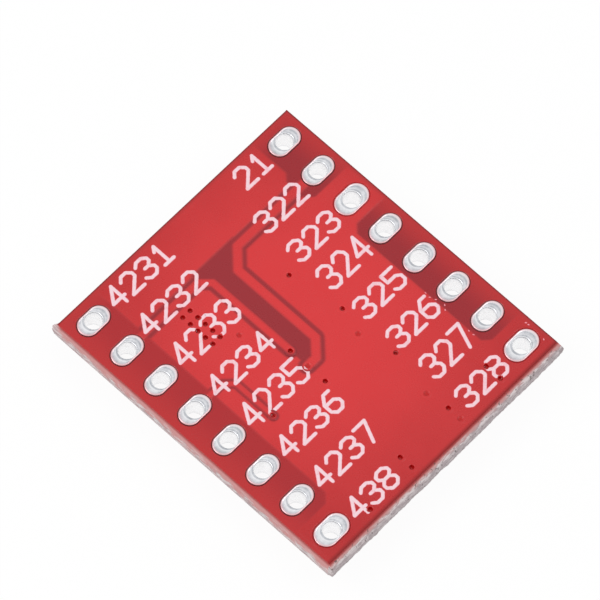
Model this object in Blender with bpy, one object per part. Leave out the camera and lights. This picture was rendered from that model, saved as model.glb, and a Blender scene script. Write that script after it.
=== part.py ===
# A dual DC motor driver module: a small red two-layer circuit board with two
# rows of eight plated header holes, a driver chip and four chip capacitors.
#
# It lies as it does on a table, solder side up, resting on the flat top of the
# driver chip. X runs along the header rows, Y across them, and Z is up. The
# origin is under the middle of the board, on the surface that the chip rests on.
#
# Metres throughout. MM turns the millimetres that board makers use into metres.

import math

import bmesh
import bpy
from mathutils import Matrix, Vector

MM = 0.001

# Clearance between pieces that touch on the real board.
FIT = 0.01 * MM

# Header holes
PIN_PITCH = 2.54 * MM
PINS_PER_ROW = 8
ROW_SPACING = 15.24 * MM
BORE_DIAMETER = 1.00 * MM
BORE_FLARE = 0.07 * MM
PLATING_THICKNESS = 0.05 * MM
ANNULAR_RING = 0.13 * MM
PAD_STRETCH = 0.82 * MM
PAD_WIDTH = BORE_DIAMETER + 2 * ANNULAR_RING
PAD_LENGTH = PAD_WIDTH + PAD_STRETCH
GROUND_PAD_GROWTH = 0.14 * MM
PAD_HEIGHT = 0.09 * MM
MASK_OPENING_GAP = 0.06 * MM
BORE_SIDES = 14
PAD_END_STEPS = 6

# Board outline: one pitch of length for each pin, and a margin past each row
ROW_MARGIN = 1.53 * MM
BOARD_LENGTH = PINS_PER_ROW * PIN_PITCH
BOARD_WIDTH = ROW_SPACING + 2 * ROW_MARGIN
LAMINATE_THICKNESS = 1.50 * MM

# Scored, snapped edges
SCORE_DEPTH = 0.45 * MM
END_WEB_PROUD = 0.20 * MM
SIDE_WEB_PROUD = 0.05 * MM

# Copper foil and the solder mask over it
COPPER_THICKNESS = 0.035 * MM
MASK_THICKNESS = 0.03 * MM
POUR_MARGIN = 0.22 * MM

# Driver chip: a 24-lead shrink small-outline package
CHIP_X = 2.325 * MM
CHIP_BODY_LENGTH = 7.80 * MM
CHIP_BODY_WIDTH = 5.60 * MM
CHIP_BODY_HEIGHT = 1.30 * MM
CHIP_STANDOFF = 0.10 * MM
CHIP_DRAFT = 0.10 * MM
CHIP_EDGE_RADIUS = 0.06 * MM
LEADS_PER_SIDE = 12
LEAD_PITCH = 0.65 * MM
LEAD_REACH = 1.00 * MM
LEAD_SPAN = CHIP_BODY_WIDTH + 2 * LEAD_REACH
LEAD_WIDTH = 0.24 * MM
LEAD_THICKNESS = 0.15 * MM
LEAD_FOOT = 0.50 * MM
LEAD_BEND_RADIUS = 0.14 * MM
PIN_ONE_DIMPLE_DIAMETER = 0.80 * MM
PIN_ONE_DIMPLE_DEPTH = 0.08 * MM
PIN_ONE_DIMPLE_INSET = 1.00 * MM

# Vias, some of them placed from the tips of the chip's leads
VIA_DIAMETER = 0.30 * MM
VIA_RING = 0.20 * MM
VIA_SIDES = 6
INNER_VIA_INSET = 2.37 * MM
INNER_VIA_Y = INNER_VIA_INSET - LEAD_SPAN / 2
OUTER_VIA_REACH = 1.12 * MM
OUTER_VIA_Y = -LEAD_SPAN / 2 - OUTER_VIA_REACH
MOTOR_GROUND_VIA_INSET = 1.35 * MM
MOTOR_GROUND_VIA_Y = LEAD_SPAN / 2 - MOTOR_GROUND_VIA_INSET
VIA_FIELD_PITCH = 0.575 * MM
VIA_FIELD_COLUMNS = 5
VIA_FIELD_ROWS = 2
VIA_FIELD_X = -4.40 * MM
VIA_FIELD_Y = -3.79 * MM
LONE_VIA_X = -3.10 * MM
LONE_VIA_Y = 1.85 * MM
# Vias of the ground pour near the +X end: distance in from that end, and Y
END_VIAS = (
    (1.61 * MM, 2.07 * MM),
    (1.81 * MM, 5.35 * MM),
    (0.76 * MM, 5.35 * MM),
    (1.51 * MM, -1.90 * MM),
    (0.66 * MM, -1.90 * MM),
    (0.59 * MM, -5.27 * MM),
)

# Copper-free strips beside the header rows, and the traces on the solder side
STRIP_DEPTH = 2.68 * MM
STRIP_CHAMFER = 0.45 * MM
SUPPLY_TRACE_WIDTH = 0.50 * MM
CONTROL_TRACE_WIDTH = 0.40 * MM
SIGNAL_TRACE_WIDTH = 0.30 * MM
MOTOR_TRACE_WIDTH = 0.80 * MM
TRACE_CLEARANCE = 0.26 * MM
POUR_SPLIT = 0.55 * MM
SUPPLY_TRACE_Y = 0.13 * MM
CONTROL_TRACE_Y = INNER_VIA_Y

# Tinned lands that leads and capacitor ends are soldered to
LAND_HEIGHT = 0.05 * MM
LAND_WIDTH = 0.38 * MM
LAND_TOE = 0.35 * MM
LAND_HEEL = 0.10 * MM

# Chip capacitors: length, width, height, and the length of each metal end
BULK_CAP = (2.00 * MM, 1.25 * MM, 1.10 * MM, 0.45 * MM)
BYPASS_CAP = (1.60 * MM, 0.80 * MM, 0.80 * MM, 0.35 * MM)
CAP_END_THICKNESS = 0.04 * MM
CAP_EDGE_RADIUS = 0.06 * MM
CAP_LAND_TOE = 0.25 * MM
CAP_COLUMN_X = VIA_FIELD_X
CAP_END_INSET = 1.15 * MM
BULK_CAP_1_Y = -1.75 * MM
BULK_CAP_2_Y = -0.35 * MM
BYPASS_CAP_1_Y = 1.85 * MM
BYPASS_CAP_2_Y = 3.60 * MM

# Levels, from the table up
SEAT_Z = CHIP_BODY_HEIGHT + CHIP_STANDOFF
LAMINATE_LOW_Z = SEAT_Z + LAND_HEIGHT
LAMINATE_HIGH_Z = LAMINATE_LOW_Z + LAMINATE_THICKNESS

MASK_RED = (0.60, 0.030, 0.035, 1)
TIN = (0.78, 0.80, 0.81, 1)
LAMINATE_PALE = (0.66, 0.60, 0.50, 1)
CHIP_BLACK = (0.022, 0.022, 0.024, 1)
CERAMIC_TAN = (0.42, 0.30, 0.19, 1)


def clear_scene():
    for old in list(bpy.data.objects):
        bpy.data.objects.remove(old)


def new_collection(name):
    made = bpy.data.collections.new(name)
    bpy.context.scene.collection.children.link(made)
    return made


clear_scene()
PARTS = new_collection("motor_driver_module")
CUTTERS = new_collection("cutters")
CUTTERS.hide_render = True


def material(name, colour, roughness, metallic=0.0):
    made = bpy.data.materials.new(name)
    made.use_nodes = True
    shader = made.node_tree.nodes["Principled BSDF"]
    shader.inputs["Base Color"].default_value = colour
    shader.inputs["Roughness"].default_value = roughness
    shader.inputs["Metallic"].default_value = metallic
    made.diffuse_color = colour
    return made


RED_MASK = material("red_solder_mask", MASK_RED, 0.30)
BRIGHT_TIN = material("bright_tin", TIN, 0.22, 1.0)
GLASS_EPOXY = material("glass_epoxy", LAMINATE_PALE, 0.75)
MOULDED_BLACK = material("moulded_epoxy", CHIP_BLACK, 0.55)
CERAMIC = material("capacitor_ceramic", CERAMIC_TAN, 0.45)


# Helpers: objects and meshes

def add_object(name, data, finish=None, collection=PARTS):
    made = bpy.data.objects.new(name, data)
    collection.objects.link(made)
    if finish is not None:
        data.materials.clear()
        data.materials.append(finish)
    if collection is CUTTERS:
        made.hide_render = True
        made.display_type = "WIRE"
    return made


def mesh_of(shape, name):
    """The evaluated mesh of an object, with its loose caps welded."""
    graph = bpy.context.evaluated_depsgraph_get()
    data = bpy.data.meshes.new_from_object(shape.evaluated_get(graph))
    data.name = name
    welder = bmesh.new()
    welder.from_mesh(data)
    bmesh.ops.remove_doubles(welder, verts=welder.verts, dist=MASK_THICKNESS / 30)
    welder.to_mesh(data)
    welder.free()
    return data


def plate(name, outline, low_z, high_z, collection=CUTTERS):
    """A flat outline given thickness, from a filled 2D curve, as a mesh object."""
    curve = bpy.data.curves.new(name, "CURVE")
    curve.dimensions = "2D"
    curve.fill_mode = "BOTH"
    curve.extrude = (high_z - low_z) / 2
    line = curve.splines.new("POLY")
    line.points.add(len(outline) - 1)
    for point, (x, y) in zip(line.points, outline):
        point.co = (x, y, 0, 1)
    line.use_cyclic_u = True
    flat = add_object(name, curve, collection=collection)
    flat.location.z = (low_z + high_z) / 2
    bpy.context.view_layer.update()
    data = mesh_of(flat, name)
    data.transform(flat.matrix_world)
    bpy.data.objects.remove(flat)
    return add_object(name, data, collection=collection)


def box(name, centre, size, collection=CUTTERS):
    shape = bmesh.new()
    bmesh.ops.create_cube(shape, size=1)
    bmesh.ops.scale(shape, verts=shape.verts, vec=size)
    bmesh.ops.translate(shape, verts=shape.verts, vec=centre)
    data = bpy.data.meshes.new(name)
    shape.to_mesh(data)
    shape.free()
    return add_object(name, data, collection=collection)


def cylinders(name, centres, diameter, low_z, high_z, sides):
    """Upright cylinders, all in one mesh, that don't touch each other."""
    shape = bmesh.new()
    for x, y in centres:
        made = bmesh.ops.create_cone(
            shape, cap_ends=True, segments=sides,
            radius1=diameter / 2, radius2=diameter / 2, depth=high_z - low_z,
        )
        middle = Vector((x, y, (low_z + high_z) / 2))
        bmesh.ops.translate(shape, verts=made["verts"], vec=middle)
    data = bpy.data.meshes.new(name)
    shape.to_mesh(data)
    shape.free()
    return add_object(name, data, collection=CUTTERS)


def join_meshes(name, shapes):
    """Several separate cutters as one mesh object."""
    joined = bmesh.new()
    for shape in shapes:
        joined.from_mesh(shape.data)
        bpy.data.objects.remove(shape)
    data = bpy.data.meshes.new(name)
    joined.to_mesh(data)
    joined.free()
    return add_object(name, data, collection=CUTTERS)


def boolean(target, other, operation):
    step = target.modifiers.new(f"{operation.lower()}_{other.name}", "BOOLEAN")
    step.operation = operation
    step.object = other
    return step


def cut(target, *cutters):
    for cutter in cutters:
        boolean(target, cutter, "DIFFERENCE")


def fuse(target, *others):
    for other in others:
        boolean(target, other, "UNION")


def finish_object(shape, name, finish):
    """The shape with its Booleans applied, as a part with its finish."""
    data = mesh_of(shape, name)
    data.transform(shape.matrix_world)
    bpy.data.objects.remove(shape)
    made = add_object(name, data, finish)
    data.set_sharp_from_angle(angle=math.radians(30))
    return made


# Helpers: outlines

def rectangle(low_x, low_y, high_x, high_y):
    return [(low_x, low_y), (high_x, low_y), (high_x, high_y), (low_x, high_y)]


def oblong(x, y, width, length, steps):
    """An outline with round ends, longer along Y."""
    radius = width / 2
    reach = (length - width) / 2
    points = []
    for end, start in ((1, 0.0), (-1, math.pi)):
        for step in range(steps + 1):
            angle = start + math.pi * step / steps
            points.append((x + radius * math.cos(angle),
                           y + end * reach + radius * math.sin(angle)))
    return points


def side_of(start, end, offset):
    """A point at each end of a segment, moved to its left by offset."""
    along = (end - start).normalized()
    left = Vector((-along.y, along.x)) * offset
    return start + left, end + left


def mitre(before, corner, after, offset):
    """Where the two offset lines that meet at a corner cross."""
    first = (corner - before).normalized()
    second = (after - corner).normalized()
    bisector = Vector((-(first.y + second.y), first.x + second.x)).normalized()
    across = Vector((-first.y, first.x))
    return corner + bisector * (offset / bisector.dot(across))


def ribbon(points, width):
    """The outline of a strip of constant width that follows a line of points."""
    line = [Vector(point) for point in points]

    def flank(offset):
        inner = [mitre(line[i - 1], line[i], line[i + 1], offset)
                 for i in range(1, len(line) - 1)]
        first = side_of(line[0], line[1], offset)[0]
        last = side_of(line[-2], line[-1], offset)[1]
        return [first, *inner, last]

    right, left = flank(-width / 2), flank(width / 2)
    return [tuple(point) for point in right + left[::-1]]


# Places on the board, shared by everything that lines up with them

def pin_x(index):
    """X of a header pin, counted from 0 at the -X end."""
    return (index - (PINS_PER_ROW - 1) / 2) * PIN_PITCH


def lead_x(index):
    """X of a chip lead, counted from 0 at the -X end."""
    return CHIP_X + (index - (LEADS_PER_SIDE - 1) / 2) * LEAD_PITCH


ROW_A_Y = ROW_SPACING / 2
ROW_B_Y = -ROW_SPACING / 2
GROUND_PINS = {"a": (2, 7), "b": (7,)}
PINS = [
    (row, index, pin_x(index), row_y)
    for row, row_y in (("a", ROW_A_Y), ("b", ROW_B_Y))
    for index in range(PINS_PER_ROW)
]

SUPPLY_VIA = (lead_x(4), INNER_VIA_Y)
CONTROL_VIA = (lead_x(2), INNER_VIA_Y)
GROUND_VIA = (lead_x(6), INNER_VIA_Y)
STANDBY_VIA = (lead_x(5), OUTER_VIA_Y)
VIA_FIELD = [
    (VIA_FIELD_X + (column - (VIA_FIELD_COLUMNS - 1) / 2) * VIA_FIELD_PITCH,
     VIA_FIELD_Y + (row - (VIA_FIELD_ROWS - 1) / 2) * VIA_FIELD_PITCH)
    for row in range(VIA_FIELD_ROWS)
    for column in range(VIA_FIELD_COLUMNS)
]
OPEN_VIAS = [
    CONTROL_VIA,
    GROUND_VIA,
    STANDBY_VIA,
    (lead_x(2.5), MOTOR_GROUND_VIA_Y),
    (lead_x(8.5), MOTOR_GROUND_VIA_Y),
    (LONE_VIA_X, LONE_VIA_Y),
    *[(BOARD_LENGTH / 2 - inset, y) for inset, y in END_VIAS],
    *VIA_FIELD,
]

CAP_END_X = BOARD_LENGTH / 2 - CAP_END_INSET
CAPACITORS = {
    "bulk_capacitor_1": (BULK_CAP, (CAP_COLUMN_X, BULK_CAP_1_Y)),
    "bulk_capacitor_2": (BULK_CAP, (CAP_END_X, BULK_CAP_2_Y)),
    "bypass_capacitor_1": (BYPASS_CAP, (CAP_COLUMN_X, BYPASS_CAP_1_Y)),
    "bypass_capacitor_2": (BYPASS_CAP, (CAP_END_X, BYPASS_CAP_2_Y)),
}


# Laminate

def stretch_face(shape, direction, rise, size):
    """Extrudes the face that points up or down, and resizes its far end."""
    face = max(shape.faces, key=lambda f: f.calc_center_median().z * direction)
    made = bmesh.ops.extrude_face_region(shape, geom=[face])
    moved = [g for g in made["geom"] if isinstance(g, bmesh.types.BMVert)]
    bmesh.ops.delete(shape, geom=[face], context="FACES")
    width = max(v.co.x for v in moved) - min(v.co.x for v in moved)
    depth = max(v.co.y for v in moved) - min(v.co.y for v in moved)
    bmesh.ops.scale(shape, verts=moved, vec=(size[0] / width, size[1] / depth, 1))
    bmesh.ops.translate(shape, verts=moved, vec=(0, 0, rise * direction))


def build_laminate():
    """Glass-epoxy sheet. Score lines leave its edges tapered above and below a
    web, which stands proud where the board was snapped from its panel."""
    web_height = LAMINATE_THICKNESS - 2 * SCORE_DEPTH
    sheet = box("laminate_sheet", (0, 0, 0), (
        BOARD_LENGTH + 2 * END_WEB_PROUD,
        BOARD_WIDTH + 2 * SIDE_WEB_PROUD,
        web_height,
    ))
    shape = bmesh.new()
    shape.from_mesh(sheet.data)
    for direction in (1, -1):
        stretch_face(shape, direction, SCORE_DEPTH, (BOARD_LENGTH, BOARD_WIDTH))
    bmesh.ops.recalc_face_normals(shape, faces=shape.faces)
    shape.to_mesh(sheet.data)
    shape.free()
    sheet.data.transform(sheet.matrix_world)
    middle = (LAMINATE_LOW_Z + LAMINATE_HIGH_Z) / 2
    for vertex in sheet.data.vertices:
        vertex.co.z += middle
    past = LAMINATE_THICKNESS
    drilled = BORE_DIAMETER + 2 * (PLATING_THICKNESS + FIT)
    cut(
        sheet,
        cylinders("header_drills", [(x, y) for _, _, x, y in PINS], drilled,
                  LAMINATE_LOW_Z - past, LAMINATE_HIGH_Z + past, BORE_SIDES),
        cylinders("via_drills", OPEN_VIAS, VIA_DIAMETER,
                  LAMINATE_LOW_Z - past, LAMINATE_HIGH_Z + past, VIA_SIDES),
    )
    return finish_object(sheet, "laminate", GLASS_EPOXY)


# Plated header holes

def pad_size(grounded):
    growth = GROUND_PAD_GROWTH if grounded else 0
    return PAD_WIDTH + growth, PAD_LENGTH + growth


def flared_bore(name, low_z, high_z):
    """A turned cutter for a plated hole: straight, and wider at each mouth."""
    radius = BORE_DIAMETER / 2
    past = PAD_HEIGHT
    half = [
        (0, high_z + past),
        (radius + BORE_FLARE, high_z + past),
        (radius + BORE_FLARE, high_z),
        (radius, high_z - PAD_HEIGHT),
    ]
    middle = low_z + high_z
    profile = half + [(r, middle - z) for r, z in reversed(half)]
    shape = bmesh.new()
    line = [shape.verts.new((r, 0, z)) for r, z in profile]
    edges = [shape.edges.new(pair) for pair in zip(line, line[1:])]
    bmesh.ops.spin(shape, geom=line + edges, cent=(0, 0, 0), axis=(0, 0, 1),
                   angle=math.tau, steps=BORE_SIDES, use_duplicate=False)
    bmesh.ops.remove_doubles(shape, verts=shape.verts, dist=FIT / 10)
    bmesh.ops.recalc_face_normals(shape, faces=shape.faces)
    data = bpy.data.meshes.new(name)
    shape.to_mesh(data)
    shape.free()
    return add_object(name, data, collection=CUTTERS)


def build_pad_mesh(name, grounded):
    """A tinned barrel with an oblong flange on each face of the board."""
    width, length = pad_size(grounded)
    low = LAMINATE_LOW_Z - FIT
    high = LAMINATE_HIGH_Z + FIT
    outline = oblong(0, 0, width, length, PAD_END_STEPS)
    upper = plate(f"{name}_upper", outline, high, LAMINATE_HIGH_Z + PAD_HEIGHT)
    lower = plate(f"{name}_lower", outline, LAMINATE_LOW_Z - PAD_HEIGHT, low)
    sink = PAD_HEIGHT / 2
    outer = BORE_DIAMETER + 2 * PLATING_THICKNESS
    barrel = cylinders(f"{name}_barrel", [(0, 0)], outer, low - sink, high + sink,
                       BORE_SIDES)
    fuse(barrel, upper, lower)
    cut(barrel, flared_bore(f"{name}_bore", LAMINATE_LOW_Z - PAD_HEIGHT,
                            LAMINATE_HIGH_Z + PAD_HEIGHT))
    data = mesh_of(barrel, name)
    data.set_sharp_from_angle(angle=math.radians(30))
    data.materials.clear()
    data.materials.append(BRIGHT_TIN)
    bpy.data.objects.remove(barrel)
    return data


def build_pads():
    meshes = {grounded: build_pad_mesh("ground_pad" if grounded else "signal_pad", grounded)
              for grounded in (False, True)}
    for row, index, x, y in PINS:
        pad = add_object(f"plated_pad_{row}{index + 1}",
                         meshes[index in GROUND_PINS[row]])
        pad.location = (x, y, 0)


# Solder masks

def strip_outline(low_x, high_x, row_y):
    """A copper-free strip beside a header row, out to the board's edge."""
    inward = -1 if row_y > 0 else 1
    edge_y = -inward * BOARD_WIDTH
    inner_y = -inward * (BOARD_WIDTH / 2 - POUR_MARGIN - STRIP_DEPTH)
    step = inward * STRIP_CHAMFER
    outline = [
        (low_x, edge_y),
        (low_x, inner_y - step),
        (low_x + STRIP_CHAMFER, inner_y),
        (high_x - STRIP_CHAMFER, inner_y),
        (high_x, inner_y - step),
        (high_x, edge_y),
    ]
    return outline if inward > 0 else outline[::-1]


def supply_trace_route():
    """From header pin A2 down beside the split, across, and to its via."""
    x = pin_x(1)
    turn = SUPPLY_VIA[0] - x
    drop = SUPPLY_TRACE_Y - SUPPLY_VIA[1]
    slope = min(drop, turn) * 0.6
    return [
        (x, ROW_A_Y),
        (x, SUPPLY_TRACE_Y + 2 * SUPPLY_TRACE_WIDTH),
        (x + 2 * SUPPLY_TRACE_WIDTH, SUPPLY_TRACE_Y),
        (SUPPLY_VIA[0] - slope, SUPPLY_TRACE_Y),
        (SUPPLY_VIA[0], SUPPLY_TRACE_Y - slope),
        (SUPPLY_VIA[0], SUPPLY_VIA[1] - VIA_RING),
    ]


def control_trace_route():
    """From header pin B2 up, and across to its via."""
    x = pin_x(1)
    corner = 1.5 * CONTROL_TRACE_WIDTH
    return [
        (x, ROW_B_Y),
        (x, CONTROL_TRACE_Y - corner),
        (x + corner, CONTROL_TRACE_Y),
        (CONTROL_VIA[0] + VIA_RING, CONTROL_TRACE_Y),
    ]


def standby_trace_route():
    """From header pin B4 up, and across to its via."""
    x = pin_x(3)
    corner = 2 * SIGNAL_TRACE_WIDTH
    return [
        (x, ROW_B_Y),
        (x, OUTER_VIA_Y - corner),
        (x + corner, OUTER_VIA_Y),
        (STANDBY_VIA[0] + VIA_RING, OUTER_VIA_Y),
    ]


def central_void_outline():
    """The copper-free field between the supply and control traces."""
    route = supply_trace_route()
    below = -SUPPLY_TRACE_WIDTH / 2
    high_corner = mitre(*[Vector(p) for p in route[0:3]], below)
    low_corner = mitre(*[Vector(p) for p in route[1:4]], below)
    far_corner = mitre(*[Vector(p) for p in route[2:5]], below)
    end_corner = mitre(*[Vector(p) for p in route[3:6]], below)
    floor_y = CONTROL_TRACE_Y
    split_x = pin_x(1) - POUR_SPLIT
    return [
        (split_x, high_corner.y),
        (split_x, floor_y - CONTROL_TRACE_WIDTH),
        (pin_x(1), floor_y - CONTROL_TRACE_WIDTH),
        (pin_x(1) + CONTROL_TRACE_WIDTH, floor_y),
        (end_corner.x, floor_y),
        tuple(end_corner),
        tuple(far_corner),
        tuple(low_corner),
        tuple(high_corner),
    ]


def mask_film(name, face_z, outward):
    """The film on one face and the levels of its copper relief."""
    film_z = sorted((face_z + outward * FIT, face_z + outward * MASK_THICKNESS))
    edge = rectangle(-BOARD_LENGTH / 2, -BOARD_WIDTH / 2, BOARD_LENGTH / 2, BOARD_WIDTH / 2)
    film = plate(f"{name}_film", edge, *film_z)
    relief_z = sorted((face_z + outward * MASK_THICKNESS / 2,
                       face_z + outward * (MASK_THICKNESS + COPPER_THICKNESS)))
    return film, relief_z


def pour_outline():
    half_x = BOARD_LENGTH / 2 - POUR_MARGIN
    half_y = BOARD_WIDTH / 2 - POUR_MARGIN
    return rectangle(-half_x, -half_y, half_x, half_y)


def pad_openings(name, low_z, high_z):
    """Windows in the mask, each a little larger than the pad that shows in it."""
    windows = []
    for row, index, x, y in PINS:
        width, length = pad_size(index in GROUND_PINS[row])
        outline = oblong(x, y, width + 2 * MASK_OPENING_GAP,
                         length + 2 * MASK_OPENING_GAP, PAD_END_STEPS)
        windows.append(plate(f"{name}_{row}{index}", outline, low_z, high_z))
    return join_meshes(name, windows)


def build_solder_side_mask():
    """Red film over the copper pours and traces of the face that shows."""
    film, relief_z = mask_film("solder_side", LAMINATE_HIGH_Z, 1)
    slab = plate("solder_side_pour", pour_outline(), *relief_z)
    groove_z = (relief_z[0] - MASK_THICKNESS, relief_z[1] + COPPER_THICKNESS)
    half_pitch = PIN_PITCH / 2
    left_edge = -BOARD_LENGTH
    strips = {
        "strip_supply": strip_outline(left_edge, pin_x(1) + 0.8 * half_pitch, ROW_A_Y),
        "strip_motor": strip_outline(pin_x(3) - half_pitch, pin_x(6) + half_pitch, ROW_A_Y),
        "strip_control": strip_outline(left_edge, pin_x(6) + half_pitch, ROW_B_Y),
    }
    for name, outline in strips.items():
        cut(slab, plate(name, outline, *groove_z))
    routes = {
        "supply_trace": (supply_trace_route(), SUPPLY_TRACE_WIDTH),
        "control_trace": (control_trace_route(), CONTROL_TRACE_WIDTH),
        "standby_trace": (standby_trace_route(), SIGNAL_TRACE_WIDTH),
    }
    for name, (route, width) in routes.items():
        channel = ribbon(route, width + 2 * TRACE_CLEARANCE)
        cut(slab, plate(f"{name}_channel", channel, *groove_z))
    cut(slab, plate("central_void", central_void_outline(), *groove_z))
    for name, (route, width) in routes.items():
        fuse(slab, plate(name, ribbon(route, width), *relief_z))
    relief = finish_object(slab, "solder_side_relief", RED_MASK)
    fuse(film, relief)
    cut(film, pad_openings("solder_side_windows", *groove_z))
    past = LAMINATE_THICKNESS
    cut(film, cylinders("solder_side_vias", OPEN_VIAS, VIA_DIAMETER,
                        LAMINATE_HIGH_Z - past, LAMINATE_HIGH_Z + past, VIA_SIDES))
    made = finish_object(film, "solder_side_mask", RED_MASK)
    bpy.data.objects.remove(relief)
    return made


def lead_land(index, side):
    """Low and high corner, in X and Y, of the land under one chip lead."""
    x = lead_x(index)
    toe = LEAD_SPAN / 2 + LAND_TOE
    heel = LEAD_SPAN / 2 - LEAD_FOOT - LAND_HEEL
    low_y, high_y = sorted((side * heel, side * toe))
    return x - LAND_WIDTH / 2, low_y, x + LAND_WIDTH / 2, high_y


def cap_land(size, centre, end):
    """Low and high corner, in X and Y, of the land under one capacitor end."""
    length, width, _, band = size
    x, y = centre
    low_y, high_y = sorted((y + end * (length / 2 - band), y + end * (length / 2 + CAP_LAND_TOE)))
    return x - width / 2, low_y, x + width / 2, high_y


def grown(corners, by):
    low_x, low_y, high_x, high_y = corners
    return low_x - by, low_y - by, high_x + by, high_y + by


def lead_to_pin_route(lead, side, pin, row_y):
    """A trace from a lead's land out to a header pin, with one slanted run."""
    start_x, end_x = lead_x(lead), pin_x(pin)
    start_y = side * (LEAD_SPAN / 2)
    room = abs(row_y - start_y)
    shift = abs(end_x - start_x)
    slant = min(shift, 0.55 * room)
    turn_y = start_y + side * (0.25 * room)
    return [
        (start_x, start_y),
        (start_x, turn_y),
        (end_x, turn_y + side * slant),
        (end_x, row_y),
    ]


def build_component_side_mask():
    """Red film on the face with the parts, with a window at every land."""
    film, relief_z = mask_film("component_side", LAMINATE_LOW_Z, -1)
    traces = {
        "motor_a1": (lead_to_pin_route(0.5, 1, 3, ROW_A_Y), MOTOR_TRACE_WIDTH),
        "motor_a2": (lead_to_pin_route(4.5, 1, 4, ROW_A_Y), MOTOR_TRACE_WIDTH),
        "motor_b2": (lead_to_pin_route(6.5, 1, 5, ROW_A_Y), MOTOR_TRACE_WIDTH),
        "motor_b1": (lead_to_pin_route(10.5, 1, 6, ROW_A_Y), MOTOR_TRACE_WIDTH),
        "input_a1": (lead_to_pin_route(3, -1, 2, ROW_B_Y), SIGNAL_TRACE_WIDTH),
        "input_b1": (lead_to_pin_route(7, -1, 4, ROW_B_Y), SIGNAL_TRACE_WIDTH),
        "input_b2": (lead_to_pin_route(8, -1, 5, ROW_B_Y), SIGNAL_TRACE_WIDTH),
        "speed_b": (lead_to_pin_route(9, -1, 6, ROW_B_Y), SIGNAL_TRACE_WIDTH),
        "standby": ([(lead_x(5), -LEAD_SPAN / 2), STANDBY_VIA], SIGNAL_TRACE_WIDTH),
        "via_ring": ([(STANDBY_VIA[0], OUTER_VIA_Y - VIA_RING - VIA_DIAMETER / 2),
                      (STANDBY_VIA[0], OUTER_VIA_Y + VIA_RING + VIA_DIAMETER / 2)],
                     VIA_DIAMETER + 2 * VIA_RING),
    }
    for name, (route, width) in traces.items():
        fuse(film, plate(name, ribbon(route, width), *relief_z))
    groove_z = (relief_z[0] - COPPER_THICKNESS, relief_z[1] + COPPER_THICKNESS)
    lands = [lead_land(index, side)
             for side in (1, -1) for index in range(LEADS_PER_SIDE)]
    lands += [cap_land(size, centre, end)
              for size, centre in CAPACITORS.values() for end in (1, -1)]
    windows = [
        plate(f"land_window_{n}", rectangle(*grown(land, MASK_OPENING_GAP)), *groove_z)
        for n, land in enumerate(lands)
    ]
    cut(film, join_meshes("land_windows", windows))
    cut(film, pad_openings("component_side_windows", *groove_z))
    past = LAMINATE_THICKNESS
    cut(film, cylinders("component_side_vias", OPEN_VIAS, VIA_DIAMETER,
                        LAMINATE_LOW_Z - past, LAMINATE_LOW_Z + past, VIA_SIDES))
    return finish_object(film, "component_side_mask", RED_MASK)


# Driver chip

def build_chip_body():
    """Moulded body, drafted both ways from the plane where the leads leave it."""
    body = box("chip_block", (0, 0, 0), (CHIP_BODY_LENGTH, CHIP_BODY_WIDTH, CHIP_BODY_HEIGHT))
    shape = bmesh.new()
    shape.from_mesh(body.data)
    bmesh.ops.bisect_plane(shape, geom=shape.verts[:] + shape.edges[:] + shape.faces[:],
                           plane_co=(0, 0, 0), plane_no=(0, 0, 1))
    ends = [v for v in shape.verts if abs(v.co.z) > CHIP_BODY_HEIGHT / 4]
    draft = (1 - 2 * CHIP_DRAFT / CHIP_BODY_LENGTH, 1 - 2 * CHIP_DRAFT / CHIP_BODY_WIDTH, 1)
    bmesh.ops.scale(shape, verts=ends, vec=draft)
    rims = [e for e in shape.edges
            if abs(sum(v.co.z for v in e.verts)) > CHIP_BODY_HEIGHT * 0.9]
    bmesh.ops.bevel(shape, geom=rims, offset=CHIP_EDGE_RADIUS, affect="EDGES",
                    segments=1, profile=0.5, material=-1)
    shape.to_mesh(body.data)
    shape.free()
    for vertex in body.data.vertices:
        vertex.co.x += CHIP_X
        vertex.co.z += CHIP_BODY_HEIGHT / 2
    dimple_at = (
        CHIP_X - CHIP_BODY_LENGTH / 2 + PIN_ONE_DIMPLE_INSET,
        CHIP_BODY_WIDTH / 2 - PIN_ONE_DIMPLE_INSET,
    )
    cut(body, cylinders("pin_one_dimple", [dimple_at], PIN_ONE_DIMPLE_DIAMETER,
                        -PIN_ONE_DIMPLE_DEPTH, PIN_ONE_DIMPLE_DEPTH, 2 * BORE_SIDES))
    return finish_object(body, "driver_package", MOULDED_BLACK)


def rounded_route(points, radius, steps):
    """A line of points with each inner corner turned into an arc."""
    line = [Vector(point) for point in points]
    route = [line[0]]
    for before, corner, after in zip(line, line[1:], line[2:]):
        back = (before - corner).normalized()
        on = (after - corner).normalized()
        half = back.angle(on) / 2
        reach = radius / math.tan(half)
        centre = corner + (back + on).normalized() * (radius / math.sin(half))
        start = corner + back * reach - centre
        sweep = start.angle_signed(corner + on * reach - centre)
        for step in range(steps + 1):
            turned = start.copy()
            turned.rotate(Matrix.Rotation(-sweep * step / steps, 2))
            route.append(centre + turned)
    route.append(line[-1])
    return route


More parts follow.
